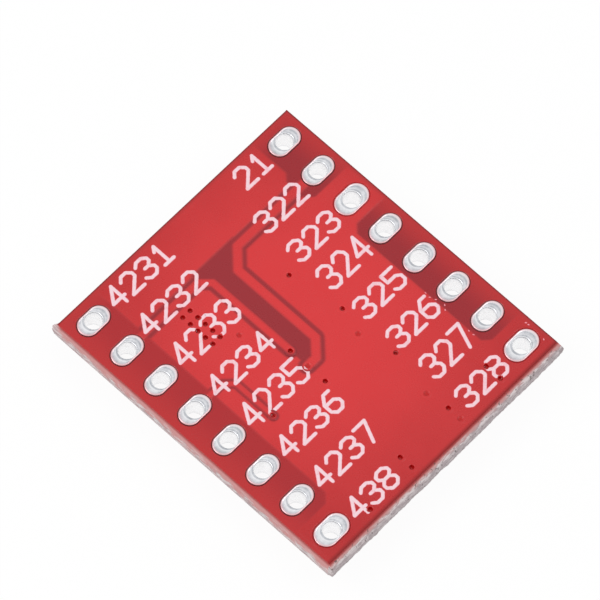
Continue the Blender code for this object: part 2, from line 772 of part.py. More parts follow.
def build_lead_mesh():
    """One gull-wing lead with the tinned land it is soldered to, for the +Y side.

    Its section is drawn with Y outwards and the height above the table as the
    second coordinate, given its width by extrusion, and stood up."""
    exit_y = CHIP_BODY_WIDTH / 2 + FIT
    exit_z = CHIP_BODY_HEIGHT / 2
    foot_z = SEAT_Z - LEAD_THICKNESS / 2
    toe_y = LEAD_SPAN / 2
    heel_y = toe_y - LEAD_FOOT
    shoulder_y = exit_y + LEAD_BEND_RADIUS * 1.6
    line = [(exit_y, exit_z), (shoulder_y, exit_z), (heel_y, foot_z), (toe_y, foot_z)]
    route = rounded_route(line, LEAD_BEND_RADIUS, 3)
    strip = plate("lead_strip", ribbon(route, LEAD_THICKNESS),
                  -LEAD_WIDTH / 2, LEAD_WIDTH / 2)
    for vertex in strip.data.vertices:
        y, z, x = vertex.co
        vertex.co = (x, y, z)
    low_x, low_y, high_x, high_y = lead_land(0, 1)
    low_z = SEAT_Z - LEAD_THICKNESS / 3
    high_z = LAMINATE_LOW_Z - FIT
    land = box("lead_land", (0, (low_y + high_y) / 2, (low_z + high_z) / 2),
               (high_x - low_x, high_y - low_y, high_z - low_z))
    fuse(strip, land)
    data = mesh_of(strip, "driver_lead")
    data.materials.clear()
    data.materials.append(BRIGHT_TIN)
    bpy.data.objects.remove(strip)
    return data


def build_leads():
    """Numbered round the package from the dimple, as lead frames are."""
    data = build_lead_mesh()
    for number in range(2 * LEADS_PER_SIDE):
        on_far_side = number < LEADS_PER_SIDE
        index = number if on_far_side else 2 * LEADS_PER_SIDE - 1 - number
        lead = add_object(f"driver_lead_{number + 1:02d}", data)
        lead.location.x = lead_x(index)
        lead.rotation_euler.z = 0 if on_far_side else math.pi


# Chip capacitors

def eased_box(name, centre, size):
    """A box with every edge chamfered, as tumbled ceramic blocks are."""
    block = box(name, centre, size)
    shape = bmesh.new()
    shape.from_mesh(block.data)
    bmesh.ops.bevel(shape, geom=shape.edges[:], offset=CAP_EDGE_RADIUS, affect="EDGES",
                    segments=1, profile=0.5, material=-1)
    shape.to_mesh(block.data)
    shape.free()
    return block


def build_capacitor(name, size, centre):
    """A ceramic block with a metal cap round each end, soldered to its land."""
    length, width, height, band = size
    x, y = centre
    middle_z = SEAT_Z - CAP_END_THICKNESS - height / 2
    core_size = Vector((width, length, height))
    core = eased_box(f"{name}_block", (x, y, middle_z), core_size)
    finish_object(core, f"{name}_body", CERAMIC)
    all_round = Vector((2, 2, 2))
    for number, end in ((1, 1), (2, -1)):
        cap = eased_box(f"{name}_cap_{number}", (x, y, middle_z),
                        core_size + CAP_END_THICKNESS * all_round)
        rest = box(f"{name}_rest_{number}", (x, y - end * band, middle_z),
                   (2 * width, length + 2 * CAP_END_THICKNESS, 2 * height))
        cut(cap, rest)
        low_x, low_y, high_x, high_y = cap_land(size, centre, end)
        land_low = SEAT_Z - CAP_END_THICKNESS / 2
        land_high = LAMINATE_LOW_Z - FIT
        land = box(f"{name}_land_{number}", (x, (low_y + high_y) / 2, (land_low + land_high) / 2),
                   (high_x - low_x, high_y - low_y, land_high - land_low))
        fuse(cap, land)
        cut(cap, eased_box(f"{name}_hollow_{number}", (x, y, middle_z),
                           core_size + FIT * all_round))
        finish_object(cap, f"{name}_end_{number}", BRIGHT_TIN)


build_laminate()
build_pads()
build_solder_side_mask()
build_component_side_mask()
build_chip_body()
build_leads()
for cap_name, (cap_size, cap_centre) in CAPACITORS.items():
    build_capacitor(cap_name, cap_size, cap_centre)
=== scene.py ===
# %% [markdown]
# A small red circuit board that drives two motors lies face down, so that the
# camera sees its solder side: two rows of tinned holes, white numbers, and a
# thin glossy mask through which the copper underneath can be read. The packed
# model gives every size and level, and this script gives each surface its look.

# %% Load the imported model
import math

import bmesh
import bpy
import numpy as np
from mathutils import Matrix, Vector, noise


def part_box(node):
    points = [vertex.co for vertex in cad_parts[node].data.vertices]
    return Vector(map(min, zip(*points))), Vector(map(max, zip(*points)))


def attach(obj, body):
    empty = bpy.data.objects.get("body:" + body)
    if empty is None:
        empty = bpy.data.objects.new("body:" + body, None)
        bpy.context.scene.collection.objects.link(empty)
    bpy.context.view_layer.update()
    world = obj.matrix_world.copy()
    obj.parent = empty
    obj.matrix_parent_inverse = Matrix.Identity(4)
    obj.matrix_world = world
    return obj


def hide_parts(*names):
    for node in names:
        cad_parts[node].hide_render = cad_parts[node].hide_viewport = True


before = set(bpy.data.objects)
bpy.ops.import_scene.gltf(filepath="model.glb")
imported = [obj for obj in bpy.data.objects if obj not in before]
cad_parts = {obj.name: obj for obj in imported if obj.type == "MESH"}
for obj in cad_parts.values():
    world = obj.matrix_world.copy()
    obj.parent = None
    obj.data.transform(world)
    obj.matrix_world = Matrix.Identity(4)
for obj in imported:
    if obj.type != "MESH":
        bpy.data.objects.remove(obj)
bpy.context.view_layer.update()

MM = 0.001
BODY = "root"

# %% [markdown]
# The camera stands where the photographer stood. A long lens far away keeps the
# two long edges of the board almost parallel, and the picture is rolled by a few
# degrees. These values come from fitting the sixteen holes, whose spacing is a
# known standard, to their places in the photograph.

# %% Camera
LENS = 389.2
SENSOR = 36.0
CAMERA_AZIMUTH = math.radians(38.07)
CAMERA_ELEVATION = math.radians(64.95)
CAMERA_ROLL = math.radians(5.58)
CAMERA_DISTANCE = 355.0 * MM
CLIP_SPAN = 100
AIM = Vector((-1.658, 1.152, 3.02)) * MM


def place_camera():
    """A camera that looks at AIM from the azimuth and elevation above."""
    lens = bpy.data.cameras.new("camera")
    lens.lens = LENS
    lens.sensor_width = SENSOR
    lens.clip_start = CAMERA_DISTANCE / CLIP_SPAN
    lens.clip_end = CAMERA_DISTANCE * CLIP_SPAN
    camera = bpy.data.objects.new("camera", lens)
    bpy.context.scene.collection.objects.link(camera)
    turn = Matrix.Rotation(CAMERA_AZIMUTH, 4, "Z")
    tip = Matrix.Rotation(math.pi / 2 - CAMERA_ELEVATION, 4, "X")
    roll = Matrix.Rotation(CAMERA_ROLL, 4, "Z")
    back = Matrix.Translation((0, 0, CAMERA_DISTANCE))
    camera.matrix_world = Matrix.Translation(AIM) @ turn @ tip @ roll @ back
    bpy.context.scene.camera = camera
    return camera


camera = place_camera()
print("camera at, in mm:", [round(c / MM, 1) for c in camera.matrix_world.translation])

# %% [markdown]
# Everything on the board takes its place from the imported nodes: the laminate
# gives the outline and the two faces, and each plated hole gives its own centre.
# The fine meshes are then built round those numbers and can't drift from them.

# %% Levels and places
LAMINATE_LOW, LAMINATE_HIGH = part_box("laminate")
MASK_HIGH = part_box("solder_side_mask")[1]
HALF_LENGTH = MASK_HIGH.x
HALF_WIDTH = MASK_HIGH.y
TOP_FACE = LAMINATE_HIGH.z
UNDER_FACE = LAMINATE_LOW.z
FILM = 0.030 * MM
COPPER = MASK_HIGH.z - TOP_FACE - FILM
PIN_ROWS = ("a", "b")
PINS_PER_ROW = 8
PIN_PITCH = 2.54 * MM
ROW_Y = {"a": 7.62 * MM, "b": -7.62 * MM}


def pin_x(index):
    """X of a pin, counted from 0 at the end where both rows start."""
    return (index - (PINS_PER_ROW - 1) / 2) * PIN_PITCH


def pad_rectangles():
    """Centre, width and length of the flange of each plated hole."""
    found = {}
    for row in PIN_ROWS:
        for number in range(1, PINS_PER_ROW + 1):
            low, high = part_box(f"plated_pad_{row}{number}")
            middle = (low + high) / 2
            found[f"{row}{number}"] = ((middle.x, middle.y), high.x - low.x, high.y - low.y)
    return found


PADS = pad_rectangles()
PAD_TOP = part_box("plated_pad_a1")[1].z
print("board in mm:", round(2 * HALF_LENGTH / MM, 2), "by", round(2 * HALF_WIDTH / MM, 2))

# %% [markdown]
# The pattern of the copper is what makes the red lighter or darker, and it also
# lifts the mask by a few hundredths of a millimetre. Both come from one idea: for
# any point, how deep it lies inside a shape. Depths of simple shapes combine with
# the smaller or the larger of two values, as areas do when they are cut or joined.

# %% Depth inside shapes
def rectangle_depth(x, y, low_x, low_y, high_x, high_y):
    """How far points lie inside a rectangle, negative outside it."""
    return np.minimum.reduce([x - low_x, high_x - x, y - low_y, high_y - y])


def route_distance(x, y, route):
    """How far points lie from the nearest stretch of a route."""
    nearest = np.full(np.shape(x), np.inf)
    for (ax, ay), (bx, by) in zip(route, route[1:]):
        run_x, run_y = bx - ax, by - ay
        share = ((x - ax) * run_x + (y - ay) * run_y) / (run_x ** 2 + run_y ** 2)
        share = np.clip(share, 0, 1)
        nearest = np.minimum(nearest, np.hypot(x - ax - share * run_x, y - ay - share * run_y))
    return nearest


def outline_depth(x, y, outline):
    """How far points lie inside a closed outline, negative outside it."""
    closed = list(outline) + [outline[0]]
    inside = np.zeros(np.shape(x), bool)
    for (ax, ay), (bx, by) in zip(closed, closed[1:]):
        if ay == by:
            continue
        crosses = (ay > y) != (by > y)
        inside ^= crosses & (x < ax + (y - ay) * (bx - ax) / (by - ay))
    edge = route_distance(x, y, closed)
    return np.where(inside, edge, -edge)


def oblong_depth(x, y, centre, width, length):
    """How far points lie inside an oblong with round ends, longer along Y."""
    reach = (length - width) / 2
    beyond = np.maximum(np.abs(y - centre[1]) - reach, 0)
    return width / 2 - np.hypot(x - centre[0], beyond)


def pad_depth(x, y):
    """How far points lie inside the flange of the nearest plated hole."""
    return np.maximum.reduce([oblong_depth(x, y, *pad) for pad in PADS.values()])


def soften(depth, spread):
    """0 outside, 1 inside, with a smooth ramp as wide as twice the spread."""
    share = np.clip((depth + spread) / (2 * spread), 0, 1)
    return share * share * (3 - 2 * share)


def in_metres(points):
    """Points written in millimetres, in Blender's metres."""
    return [(x * MM, y * MM) for x, y in points]


# %% [markdown]
# The solder side carries one large ground pour, a supply pour along one end, and
# three traces. Strips beside the header rows and a field in the middle have no
# copper, and there the mask looks dark because light goes on into the board.

# %% Copper on the solder side
POUR_MARGIN = 0.20 * MM
CLEARANCE = 0.25 * MM
THIN_CLEARANCE = 0.16 * MM
SUPPLY_TRACE = [
    (-6.37, 7.62), (-6.37, 1.15), (-5.33, 0.11), (0.48, 0.11), (1.34, -0.75), (1.34, -1.45),
]
CONTROL_TRACE = [(-6.38, -7.62), (-6.38, -1.98), (-5.80, -1.41), (0.05, -1.41)]
STANDBY_TRACE = [(-1.27, -7.62), (-1.27, -5.50), (-0.72, -4.92), (2.05, -4.92)]
MIDDLE_FIELD = [
    (-6.93, 1.40), (-6.65, 1.05), (-5.45, -0.16), (0.36, -0.16), (1.08, -0.88),
    (1.08, -1.45), (-5.85, -1.45), (-6.93, -1.98),
]
SUPPLY_STRIP = [
    (-12.0, 6.27), (-7.50, 6.27), (-7.10, 5.88), (-5.70, 5.88), (-5.35, 6.35), (-5.35, 12.0),
    (-12.0, 12.0),
]
MOTOR_STRIP = [
    (-2.15, 6.30), (7.10, 6.30), (7.50, 6.75), (7.50, 12.0), (-2.60, 12.0), (-2.60, 6.75),
]
CONTROL_STRIP = [(-12.0, -12.0), (7.60, -12.0), (7.60, -6.70), (7.15, -6.25), (-12.0, -6.25)]
TRACES = [
    (in_metres(SUPPLY_TRACE), 0.52 * MM, CLEARANCE),
    (in_metres(CONTROL_TRACE), 0.42 * MM, CLEARANCE),
    (in_metres(STANDBY_TRACE), 0.30 * MM, THIN_CLEARANCE),
]
STRIPS = [in_metres(outline) for outline in (SUPPLY_STRIP, MOTOR_STRIP, CONTROL_STRIP)]
FIELD = in_metres(MIDDLE_FIELD)
BOARD = (-HALF_LENGTH, -HALF_WIDTH, HALF_LENGTH, HALF_WIDTH)
POUR = (POUR_MARGIN - HALF_LENGTH, POUR_MARGIN - HALF_WIDTH,
        HALF_LENGTH + POUR_MARGIN, HALF_WIDTH - POUR_MARGIN)


def strip_depth(x, y):
    """How far points lie inside the bare strips beside the header rows."""
    return np.maximum.reduce([outline_depth(x, y, outline) for outline in STRIPS])


def solder_side_copper(x, y):
    """How far points lie inside the copper of the solder side."""
    pour = np.minimum.reduce([
        rectangle_depth(x, y, *POUR),
        -strip_depth(x, y),
        -outline_depth(x, y, FIELD),
    ])
    traces = np.full(np.shape(x), -np.inf)
    for route, width, clearance in TRACES:
        distance = route_distance(x, y, route)
        pour = np.minimum(pour, distance - width / 2 - clearance)
        traces = np.maximum(traces, width / 2 - distance)
    return np.maximum(pour, traces)


# %% [markdown]
# On the component side each motor output runs in a wide trace from two leads of
# the chip to its pin, and each input in a thin one. The rest is ground pour.

# %% Copper on the component side
CHIP_LOW, CHIP_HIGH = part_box("driver_package")
LEADS_PER_SIDE = 12
LEAD_PITCH = 0.65 * MM
LEAD_BOXES = [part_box(f"driver_lead_{n:02d}") for n in range(1, 2 * LEADS_PER_SIDE + 1)]
LEAD_TIP_Y = max(high.y for _, high in LEAD_BOXES)
LEAD_TOE = 0.35 * MM
CHIP_X = (CHIP_LOW.x + CHIP_HIGH.x) / 2
MOTOR_WIDTH = 0.80 * MM
SIGNAL_WIDTH = 0.30 * MM
UNDER_CLEARANCE = 0.20 * MM
MOTOR_LEADS = ((0.5, 3), (4.5, 4), (6.5, 5), (10.5, 6))
STRAIGHT_SHARE = 0.25
SLANT_SHARE = 0.55
INPUT_LEADS = ((3, 2), (7, 4), (8, 5), (9, 6))


def lead_x(index):
    """X of a chip lead, counted from 0 at the -X end; halves lie between two."""
    return CHIP_X + (index - (LEADS_PER_SIDE - 1) / 2) * LEAD_PITCH


def lead_route(lead, side, pin, row_y):
    """A trace from a lead out to a header pin, with one slanted stretch."""
    start_y = side * (LEAD_TIP_Y - LEAD_TOE)
    turn_y = start_y + STRAIGHT_SHARE * (row_y - start_y)
    slant = min(abs(pin_x(pin) - lead_x(lead)), SLANT_SHARE * abs(row_y - start_y))
    return [
        (lead_x(lead), start_y),
        (lead_x(lead), turn_y),
        (pin_x(pin), turn_y + side * slant),
        (pin_x(pin), row_y),
    ]


UNDER_TRACES = [(lead_route(lead, 1, pin, ROW_Y["a"]), MOTOR_WIDTH) for lead, pin in MOTOR_LEADS]
UNDER_TRACES += [(lead_route(lead, -1, pin, ROW_Y["b"]), SIGNAL_WIDTH) for lead, pin in INPUT_LEADS]


def component_side_copper(x, y):
    """How far points lie inside the copper of the component side."""
    pour = rectangle_depth(x, y, *POUR)
    traces = np.full(np.shape(x), -np.inf)
    for route, width in UNDER_TRACES:
        distance = route_distance(x, y, route)
        pour = np.minimum(pour, distance - width / 2 - UNDER_CLEARANCE)
        traces = np.maximum(traces, width / 2 - distance)
    pour = np.minimum(pour, -pad_depth(x, y) - UNDER_CLEARANCE)
    return np.maximum(pour, traces)


print("traces:", len(TRACES), "on the solder side,", len(UNDER_TRACES), "on the component side")

# %% [markdown]
# Vias join the copper of the two faces. Most are open and show as small dark
# wells, and a few are closed over by the mask and show only as a faint ring.

# %% Via places
VIA_RADIUS = 0.15 * MM
VIA_RIM = 0.30 * MM
VIA_COLUMNS = (-5.53, -4.95, -4.38, -3.82, -3.27)
VIA_LINES = (-3.50, -4.08)
OPEN_VIAS = in_metres(
    [(-3.12, 1.84), (0.35, 2.40), (4.25, 2.50), (8.55, 2.07), (8.35, 5.35), (9.40, 5.35),
     (0.05, -1.43), (2.65, -1.43), (2.00, -4.90), (8.65, -1.90), (9.50, -1.90), (9.57, -5.27)]
    + [(x, y) for y in VIA_LINES for x in VIA_COLUMNS])
TENTED_VIAS = in_metres([(1.35, -1.43), (2.00, 1.90), (7.10, 1.87), (9.45, 2.05), (-2.60, -2.70)])


def via_distance(x, y, places):
    """How far points lie from the centre of the nearest of these vias."""
    return np.minimum.reduce([np.hypot(x - vx, y - vy) for vx, vy in places])


print("vias:", len(OPEN_VIAS), "open and", len(TENTED_VIAS), "tented")

# %% [markdown]
# Finished meshes all become objects in the same way: smooth shading except where
# faces meet at a steep angle, and a body, with the imported nodes that the piece
# stands for hidden.

# %% Finishing a piece
WELD = 0.0005 * MM


def finish_mesh(name, shape, sharp_above=40):
    """Turns a bmesh into an object of the scene, smooth but for its sharp edges."""
    data = bpy.data.meshes.new(name)
    shape.to_mesh(data)
    shape.free()
    data.shade_smooth()
    data.set_sharp_from_angle(angle=math.radians(sharp_above))
    piece = bpy.data.objects.new(name, data)
    bpy.context.scene.collection.objects.link(piece)
    return piece


def settle(piece, slot, *nodes):
    """Gives a finished piece its body and hides the nodes it stands for; the slot is not used."""
    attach(piece, BODY)
    if nodes:
        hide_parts(*nodes)
    return piece


def new_verts(made):
    """The new points among what an operator made."""
    return [g for g in made["geom"] if isinstance(g, bmesh.types.BMVert)]


def new_loop(made):
    """The new edges that join only new points, among what an extrusion made."""
    verts = set(new_verts(made))
    edges = [g for g in made["geom"] if isinstance(g, bmesh.types.BMEdge)]
    return [edge for edge in edges if verts.issuperset(edge.verts)]


# %% [markdown]
# The mask is one film, so it is one mesh: a fine grid whose points rise over
# copper, sink beside it, and slump a little at the board's edge. Squares at a hole
# or a via are taken out, and pulling the whole sheet down to the laminate closes
# it. How much copper lies below is kept as an attribute of each point, so that
# the material can tint the red by it.

# %% Solder mask sheets
EDGE_SPREAD = 0.075 * MM
EDGE_SLUMP = 0.012 * MM
RIPPLE = 0.0010 * MM
RIPPLE_SIZE = 0.9 * MM
SHEET_CELL = 0.09 * MM
COLLAR_CUT = 0.12 * MM
WELL_CUT = 0.19 * MM
BENEATH_RIM = 0.010 * MM
BENEATH_SPREAD = 0.04 * MM


def mask_rise(x, y, copper):
    """Height of the mask's surface over the laminate."""
    board = rectangle_depth(x, y, *BOARD)
    slump = EDGE_SLUMP * (1 - soften(board - EDGE_SPREAD, EDGE_SPREAD))
    return FILM + COPPER * soften(copper, EDGE_SPREAD) - slump


def ripple_at(place):
    """The slow unevenness of a film that was poured and dried."""
    return RIPPLE * noise.noise(Vector((place[0], place[1], 0)) / RIPPLE_SIZE)


def point_places(shape):
    """X and Y of every point of a bmesh, as two arrays."""
    return np.array([v.co.x for v in shape.verts]), np.array([v.co.y for v in shape.verts])


def keep_value(shape, key, values):
    """Stores a value on each point, for the material to read."""
    layer = shape.verts.layers.float.new(key)
    for vertex, value in zip(shape.verts, values):
        vertex[layer] = float(value)


def tint_points(shape, copper_of, has_strips=True):
    """Stores on each point how much copper and bare strip lie beneath it."""
    x, y = point_places(shape)
    copper = copper_of(x, y)
    keep_value(shape, "copper", soften(copper, EDGE_SPREAD))
    keep_value(shape, "strip", soften(strip_depth(x, y), EDGE_SPREAD) * has_strips)
    return x, y, copper


def snap_to_windows(sheet, windows):
    """Pulls the nearest grid lines onto the edges of rectangular windows."""
    x, y = point_places(sheet)
    reach = 0.51 * SHEET_CELL
    for low_x, low_y, high_x, high_y in windows:
        along_y = (y > low_y - reach) & (y < high_y + reach)
        along_x = (x > low_x - reach) & (x < high_x + reach)
        for edge in (low_x, high_x):
            x[along_y & (np.abs(x - edge) < reach)] = edge
        for edge in (low_y, high_y):
            y[along_x & (np.abs(y - edge) < reach)] = edge
    for vertex, new_x, new_y in zip(sheet.verts, x, y):
        vertex.co.x, vertex.co.y = new_x, new_y


def mask_sheet(name, copper_of, face_z, outward, windows=()):
    """A closed sheet of mask on one face of the board, with windows cut out."""
    sheet = bmesh.new()
    columns = round(2 * HALF_LENGTH / SHEET_CELL)
    rows = round(2 * HALF_WIDTH / SHEET_CELL)
    bmesh.ops.create_grid(sheet, x_segments=columns, y_segments=rows, size=1)
    bmesh.ops.scale(sheet, verts=sheet.verts, vec=(HALF_LENGTH, HALF_WIDTH, 1))
    snap_to_windows(sheet, windows)
    x, y, copper = tint_points(sheet, copper_of, outward > 0)
    rise = mask_rise(x, y, copper)
    vias = OPEN_VIAS + TENTED_VIAS if outward > 0 else OPEN_VIAS
    rise = rise - BENEATH_RIM * soften(VIA_RIM - via_distance(x, y, vias), BENEATH_SPREAD)
    for n, vertex in enumerate(sheet.verts):
        vertex.co.z = face_z + outward * (rise[n] + ripple_at(vertex.co))
    faces = sheet.faces[:]
    middles = np.array([f.calc_center_median() for f in faces])
    x, y = middles[:, 0], middles[:, 1]
    gone = (pad_depth(x, y) > -COLLAR_CUT) | (via_distance(x, y, vias) < WELL_CUT)
    for window in windows:
        gone |= rectangle_depth(x, y, *window) > 0
    bmesh.ops.delete(sheet, geom=[f for f, out in zip(faces, gone) if out], context="FACES")
    made = bmesh.ops.extrude_face_region(sheet, geom=sheet.faces[:], use_keep_orig=True)
    for vertex in new_verts(made):
        vertex.co.z = face_z
    bmesh.ops.recalc_face_normals(sheet, faces=sheet.faces)
    return finish_mesh(name, sheet)


solder_film = mask_sheet("solder_side_film", solder_side_copper, TOP_FACE, 1)
settle(solder_film, "solder_mask", "solder_side_mask")
print("solder side film:", len(solder_film.data.polygons), "faces")

# %% [markdown]
# Round each hole the mask has a window a little larger than the tin, and from one
# side its edge shows as a thin dark line. The grid is too coarse for that line, so
# each window has a collar: rings that follow the oblong and step down to the
# laminate. The outermost ring dives under the sheet, so no seam shows. The gap's
# floor is painted dark red-brown as painted shade, weaker round the ground pads.

# %% Collars round the holes
RING_POINTS = 64
COLLAR_RINGS = (
    # distance from the tin in mm, share of the mask's height that is left
    (0.220, 1.0),
    (0.170, 1.0),
    (0.125, 1.0),
    (0.090, 0.96),
    (0.068, 0.80),
    (0.052, 0.45),
    (0.040, 0.16),
    (0.025, 0.06),
    (-0.030, 0.06),
)
COLLAR_LIFT = 0.0015 * MM
COLLAR_DIVE = 0.006 * MM
WINDOW_EDGE = 0.050 * MM
WINDOW_SPREAD = 0.012 * MM
GROUND_PINS = ("a3", "a8", "b8")
ON_GROUND = 0.35


def place_ring(verts, was, now):
    """Moves a ring's points from one radius, reach along Y and height to another."""
    for vertex in verts:
        side = math.copysign(1, vertex.co.y)
        across = vertex.co.x / was[0]
        along = (vertex.co.y - side * was[1]) / was[0]
        vertex.co = (across * now[0], along * now[0] + side * now[1], now[2])


def unit_ring(shape):
    """Adds a circle of unit radius, turned so that no point lies on the X axis."""
    made = bmesh.ops.create_circle(shape, segments=RING_POINTS, radius=1)
    turn = Matrix.Rotation(math.pi / RING_POINTS, 3, "Z")
    bmesh.ops.rotate(shape, verts=made["verts"], matrix=turn)
    return made["verts"], list({edge for vertex in made["verts"] for edge in vertex.link_edges})


def collar(shape, pad, copper_of, face_z, outward):
    """One window's collar, as rings extruded inwards from the sheet."""
    centre, width, length = pad
    reach = (length - width) / 2
    verts, edges = unit_ring(shape)
    was = (1, 0, 0)
    rings = []
    for step, (offset, share) in enumerate(COLLAR_RINGS):
        if step:
            made = bmesh.ops.extrude_edge_only(shape, edges=edges)
            edges, verts = new_loop(made), new_verts(made)
        now = (width / 2 + offset * MM, reach, 0)
        place_ring(verts, was, now)
        was = now
        rings.append((verts, share))
    for step, (verts, share) in enumerate(rings):
        bmesh.ops.translate(shape, verts=verts, vec=(*centre, 0))
        x, y = np.array([v.co.x for v in verts]), np.array([v.co.y for v in verts])
        rise = mask_rise(x, y, copper_of(x, y))
        lift = COLLAR_LIFT * share if step else -COLLAR_DIVE
        for n, vertex in enumerate(verts):
            vertex.co.z = face_z + outward * (rise[n] * share + lift + ripple_at(vertex.co))


def ground_pad_depth(x, y):
    """How far points lie inside the flange of the nearest hole on the ground pour."""
    return np.maximum.reduce([oblong_depth(x, y, *PADS[label]) for label in GROUND_PINS])


def window_collars(name, copper_of, face_z, outward):
    """The collars of all the windows of one face, in one piece."""
    shape = bmesh.new()
    for pad in PADS.values():
        collar(shape, pad, copper_of, face_z, outward)
    x, y, _ = tint_points(shape, copper_of, outward > 0)
    # How much painted shade each point gets: full in the gap, less at the ground pads.
    bare = soften(pad_depth(x, y) + WINDOW_EDGE, WINDOW_SPREAD)
    on_ground = ground_pad_depth(x, y) > -2 * COLLAR_CUT
    keep_value(shape, "window", bare * np.where(on_ground, ON_GROUND, 1))
    made = bmesh.ops.extrude_face_region(shape, geom=shape.faces[:], use_keep_orig=True)
    for vertex in new_verts(made):
        vertex.co.z = face_z
    bmesh.ops.recalc_face_normals(shape, faces=shape.faces)
    return finish_mesh(name, shape, 60)


collars = window_collars("solder_side_collars", solder_side_copper, TOP_FACE, 1)
settle(collars, "solder_mask")
print("window collars:", len(collars.data.polygons), "faces")

# %% [markdown]
# A via's insert is turned on a lathe: a soft rim that lies on the mask, a rounded
# lip, and a well that narrows as it goes down. The tented ones stop at a shallow
# dish, because the film bridges them.

# %% Via inserts
VIA_STEPS = 24
WELL_SECTION = (
    # radius in mm, depth below the mask in mm
    (0, 0.165), (0.060, 0.180), (0.108, 0.185), (0.118, 0.140), (0.130, 0.070), (0.142, 0.024),
    (0.155, 0.006),
)
DISH_SECTION = ((0, 0.040), (0.070, 0.044), (0.138, 0.040), (0.164, 0.010))
RIM_SECTION = (
    (0.175, -0.003), (0.205, -0.006), (0.245, -0.004), (0.275, 0.000), (0.300, 0.004),
    (0.330, 0.014), (0.300, 0.030), (0.155, 0.040),
)
WELL_UNDER = ((0.122, 0.205), (0, 0.205))
DISH_UNDER = ((0.100, 0.062), (0, 0.062))


def turned(shape, profile, centre):
    """Spins a line of radius and height pairs round a vertical axis."""
    line = [shape.verts.new((centre[0] + r, centre[1], z)) for r, z in profile]
    edges = [shape.edges.new(pair) for pair in zip(line, line[1:])]
    bmesh.ops.spin(shape, geom=line + edges, cent=(*centre, 0), axis=(0, 0, 1),
                   angle=math.tau, steps=VIA_STEPS, use_merge=True)


def via_inserts(name, places, section, copper_of, face_z, outward):
    """All the inserts of one kind on one face, as turned shapes in one piece."""
    shape = bmesh.new()
    for place in places:
        spot = np.array([place[0]]), np.array([place[1]])
        rise = float(mask_rise(*spot, copper_of(*spot))[0])
        level = face_z + outward * (rise + ripple_at(place))
        turned(shape, [(r * MM, level - outward * depth * MM) for r, depth in section], place)
    bmesh.ops.remove_doubles(shape, verts=shape.verts, dist=WELD)
    tint_points(shape, copper_of, outward > 0)
    bmesh.ops.recalc_face_normals(shape, faces=shape.faces)
    return finish_mesh(name, shape, 60)


WELL = WELL_SECTION + RIM_SECTION + WELL_UNDER
DISH = DISH_SECTION + RIM_SECTION + DISH_UNDER
open_wells = via_inserts("open_via_wells", OPEN_VIAS, WELL, solder_side_copper, TOP_FACE, 1)
tented_dishes = via_inserts("tented_via_dishes", TENTED_VIAS, DISH, solder_side_copper, TOP_FACE, 1)
settle(open_wells, "solder_mask")
settle(tented_dishes, "solder_mask")
print("via inserts:", len(open_wells.data.polygons) + len(tented_dishes.data.polygons), "faces")

# %% [markdown]
# A plated hole is a rivet of copper under tin: an oblong flange on each face and a
# barrel between them. The tin was blown level while it was melted, so it has a
# round shoulder all the way along its rim and a soft lip where it runs down into
# the hole. Rings of the same number of points are extruded one from the other, and
# each ring is moved from an oblong towards a circle.

# %% Plated holes
BORE_RADIUS = 0.50 * MM
BARREL_RADIUS = 0.55 * MM
TIN_RIPPLE = 0.004 * MM
TIN_RIPPLE_SIZE = 0.40 * MM
PAD_RISE = PAD_TOP - TOP_FACE
FLANGE_SECTION = (
    # how far in from the rim in mm, share of the reach along Y, share of the rise,
    # painted shine at the -Y end, painted shine at the +Y end (below zero both are
    # painted shade), painted reflection of the red mask
    (0.000, 1.00, 0.00, 0.5, 0.8, 1.0),
    (-0.003, 1.00, 0.35, 0.6, 0.9, 1.0),
    (0.008, 1.00, 0.64, 0.6, 1.0, 1.0),
    (0.022, 1.00, 0.86, 0.5, 1.0, 1.0),
    (0.040, 1.00, 0.98, 0.1, 1.0, 1.0),
    (0.062, 1.00, 0.97, 0.1, 0.9, 0.7),
    (0.086, 0.95, 0.88, -0.1, 0.6, 0.3),
    (0.074, 0.76, 0.80, 0.0, 0.3, 0.1),
    (0.074, 0.62, 0.76, 0.3, -0.5, 0.0),
    (0.074, 0.47, 0.76, 0.4, 0.0, 0.0),
)
LIP_SECTION = (
    # radius beyond the bore in mm, then the same columns
    (0.054, 0.32, 0.78, 0.7, 0.3, 0.0),
    (0.052, 0.17, 0.80, -0.4, 0.1, 0.0),
    (0.047, 0.00, 0.82, -0.5, 0.1, 0.0),
    (0.034, 0.00, 0.76, 1.0, 1.0, 0.0),
    (0.020, 0.00, 0.52, 0.9, 0.9, 0.0),
    (0.008, 0.00, 0.10, 0.3, 0.0, 0.0),
    (0.000, 0.00, -0.60, 0.9, 0.9, 0.0),
)
BARREL_SHARES = (0.2, 0.4, 0.6, 0.8)
# The barrel takes the full painted highlight, a painted reflection of the white surroundings.
BARREL_LOOKS = (1.0, 1.0, 0.0)


def pad_rings(width, length):
    """Radius, reach, height and looks of every ring, down the hole and back up outside."""
    reach = (length - width) / 2
    side = [(width / 2 - inset * MM, share * reach, rise * PAD_RISE, looks)
            for inset, share, rise, *looks in FLANGE_SECTION]
    side += [(BORE_RADIUS + beyond * MM, share * reach, rise * PAD_RISE, looks)
             for beyond, share, rise, *looks in LIP_SECTION]
    upper = [(r, s, TOP_FACE + z, looks) for r, s, z, looks in side]
    depth = TOP_FACE - UNDER_FACE
    middle = [(BORE_RADIUS, 0.0, TOP_FACE - depth * share, BARREL_LOOKS) for share in BARREL_SHARES]
    lower = [(r, s, UNDER_FACE - z, looks) for r, s, z, looks in reversed(side)]
    outside = [(BARREL_RADIUS, 0.0, z, BARREL_LOOKS) for z in (UNDER_FACE, TOP_FACE)]
    return upper + middle + lower + outside


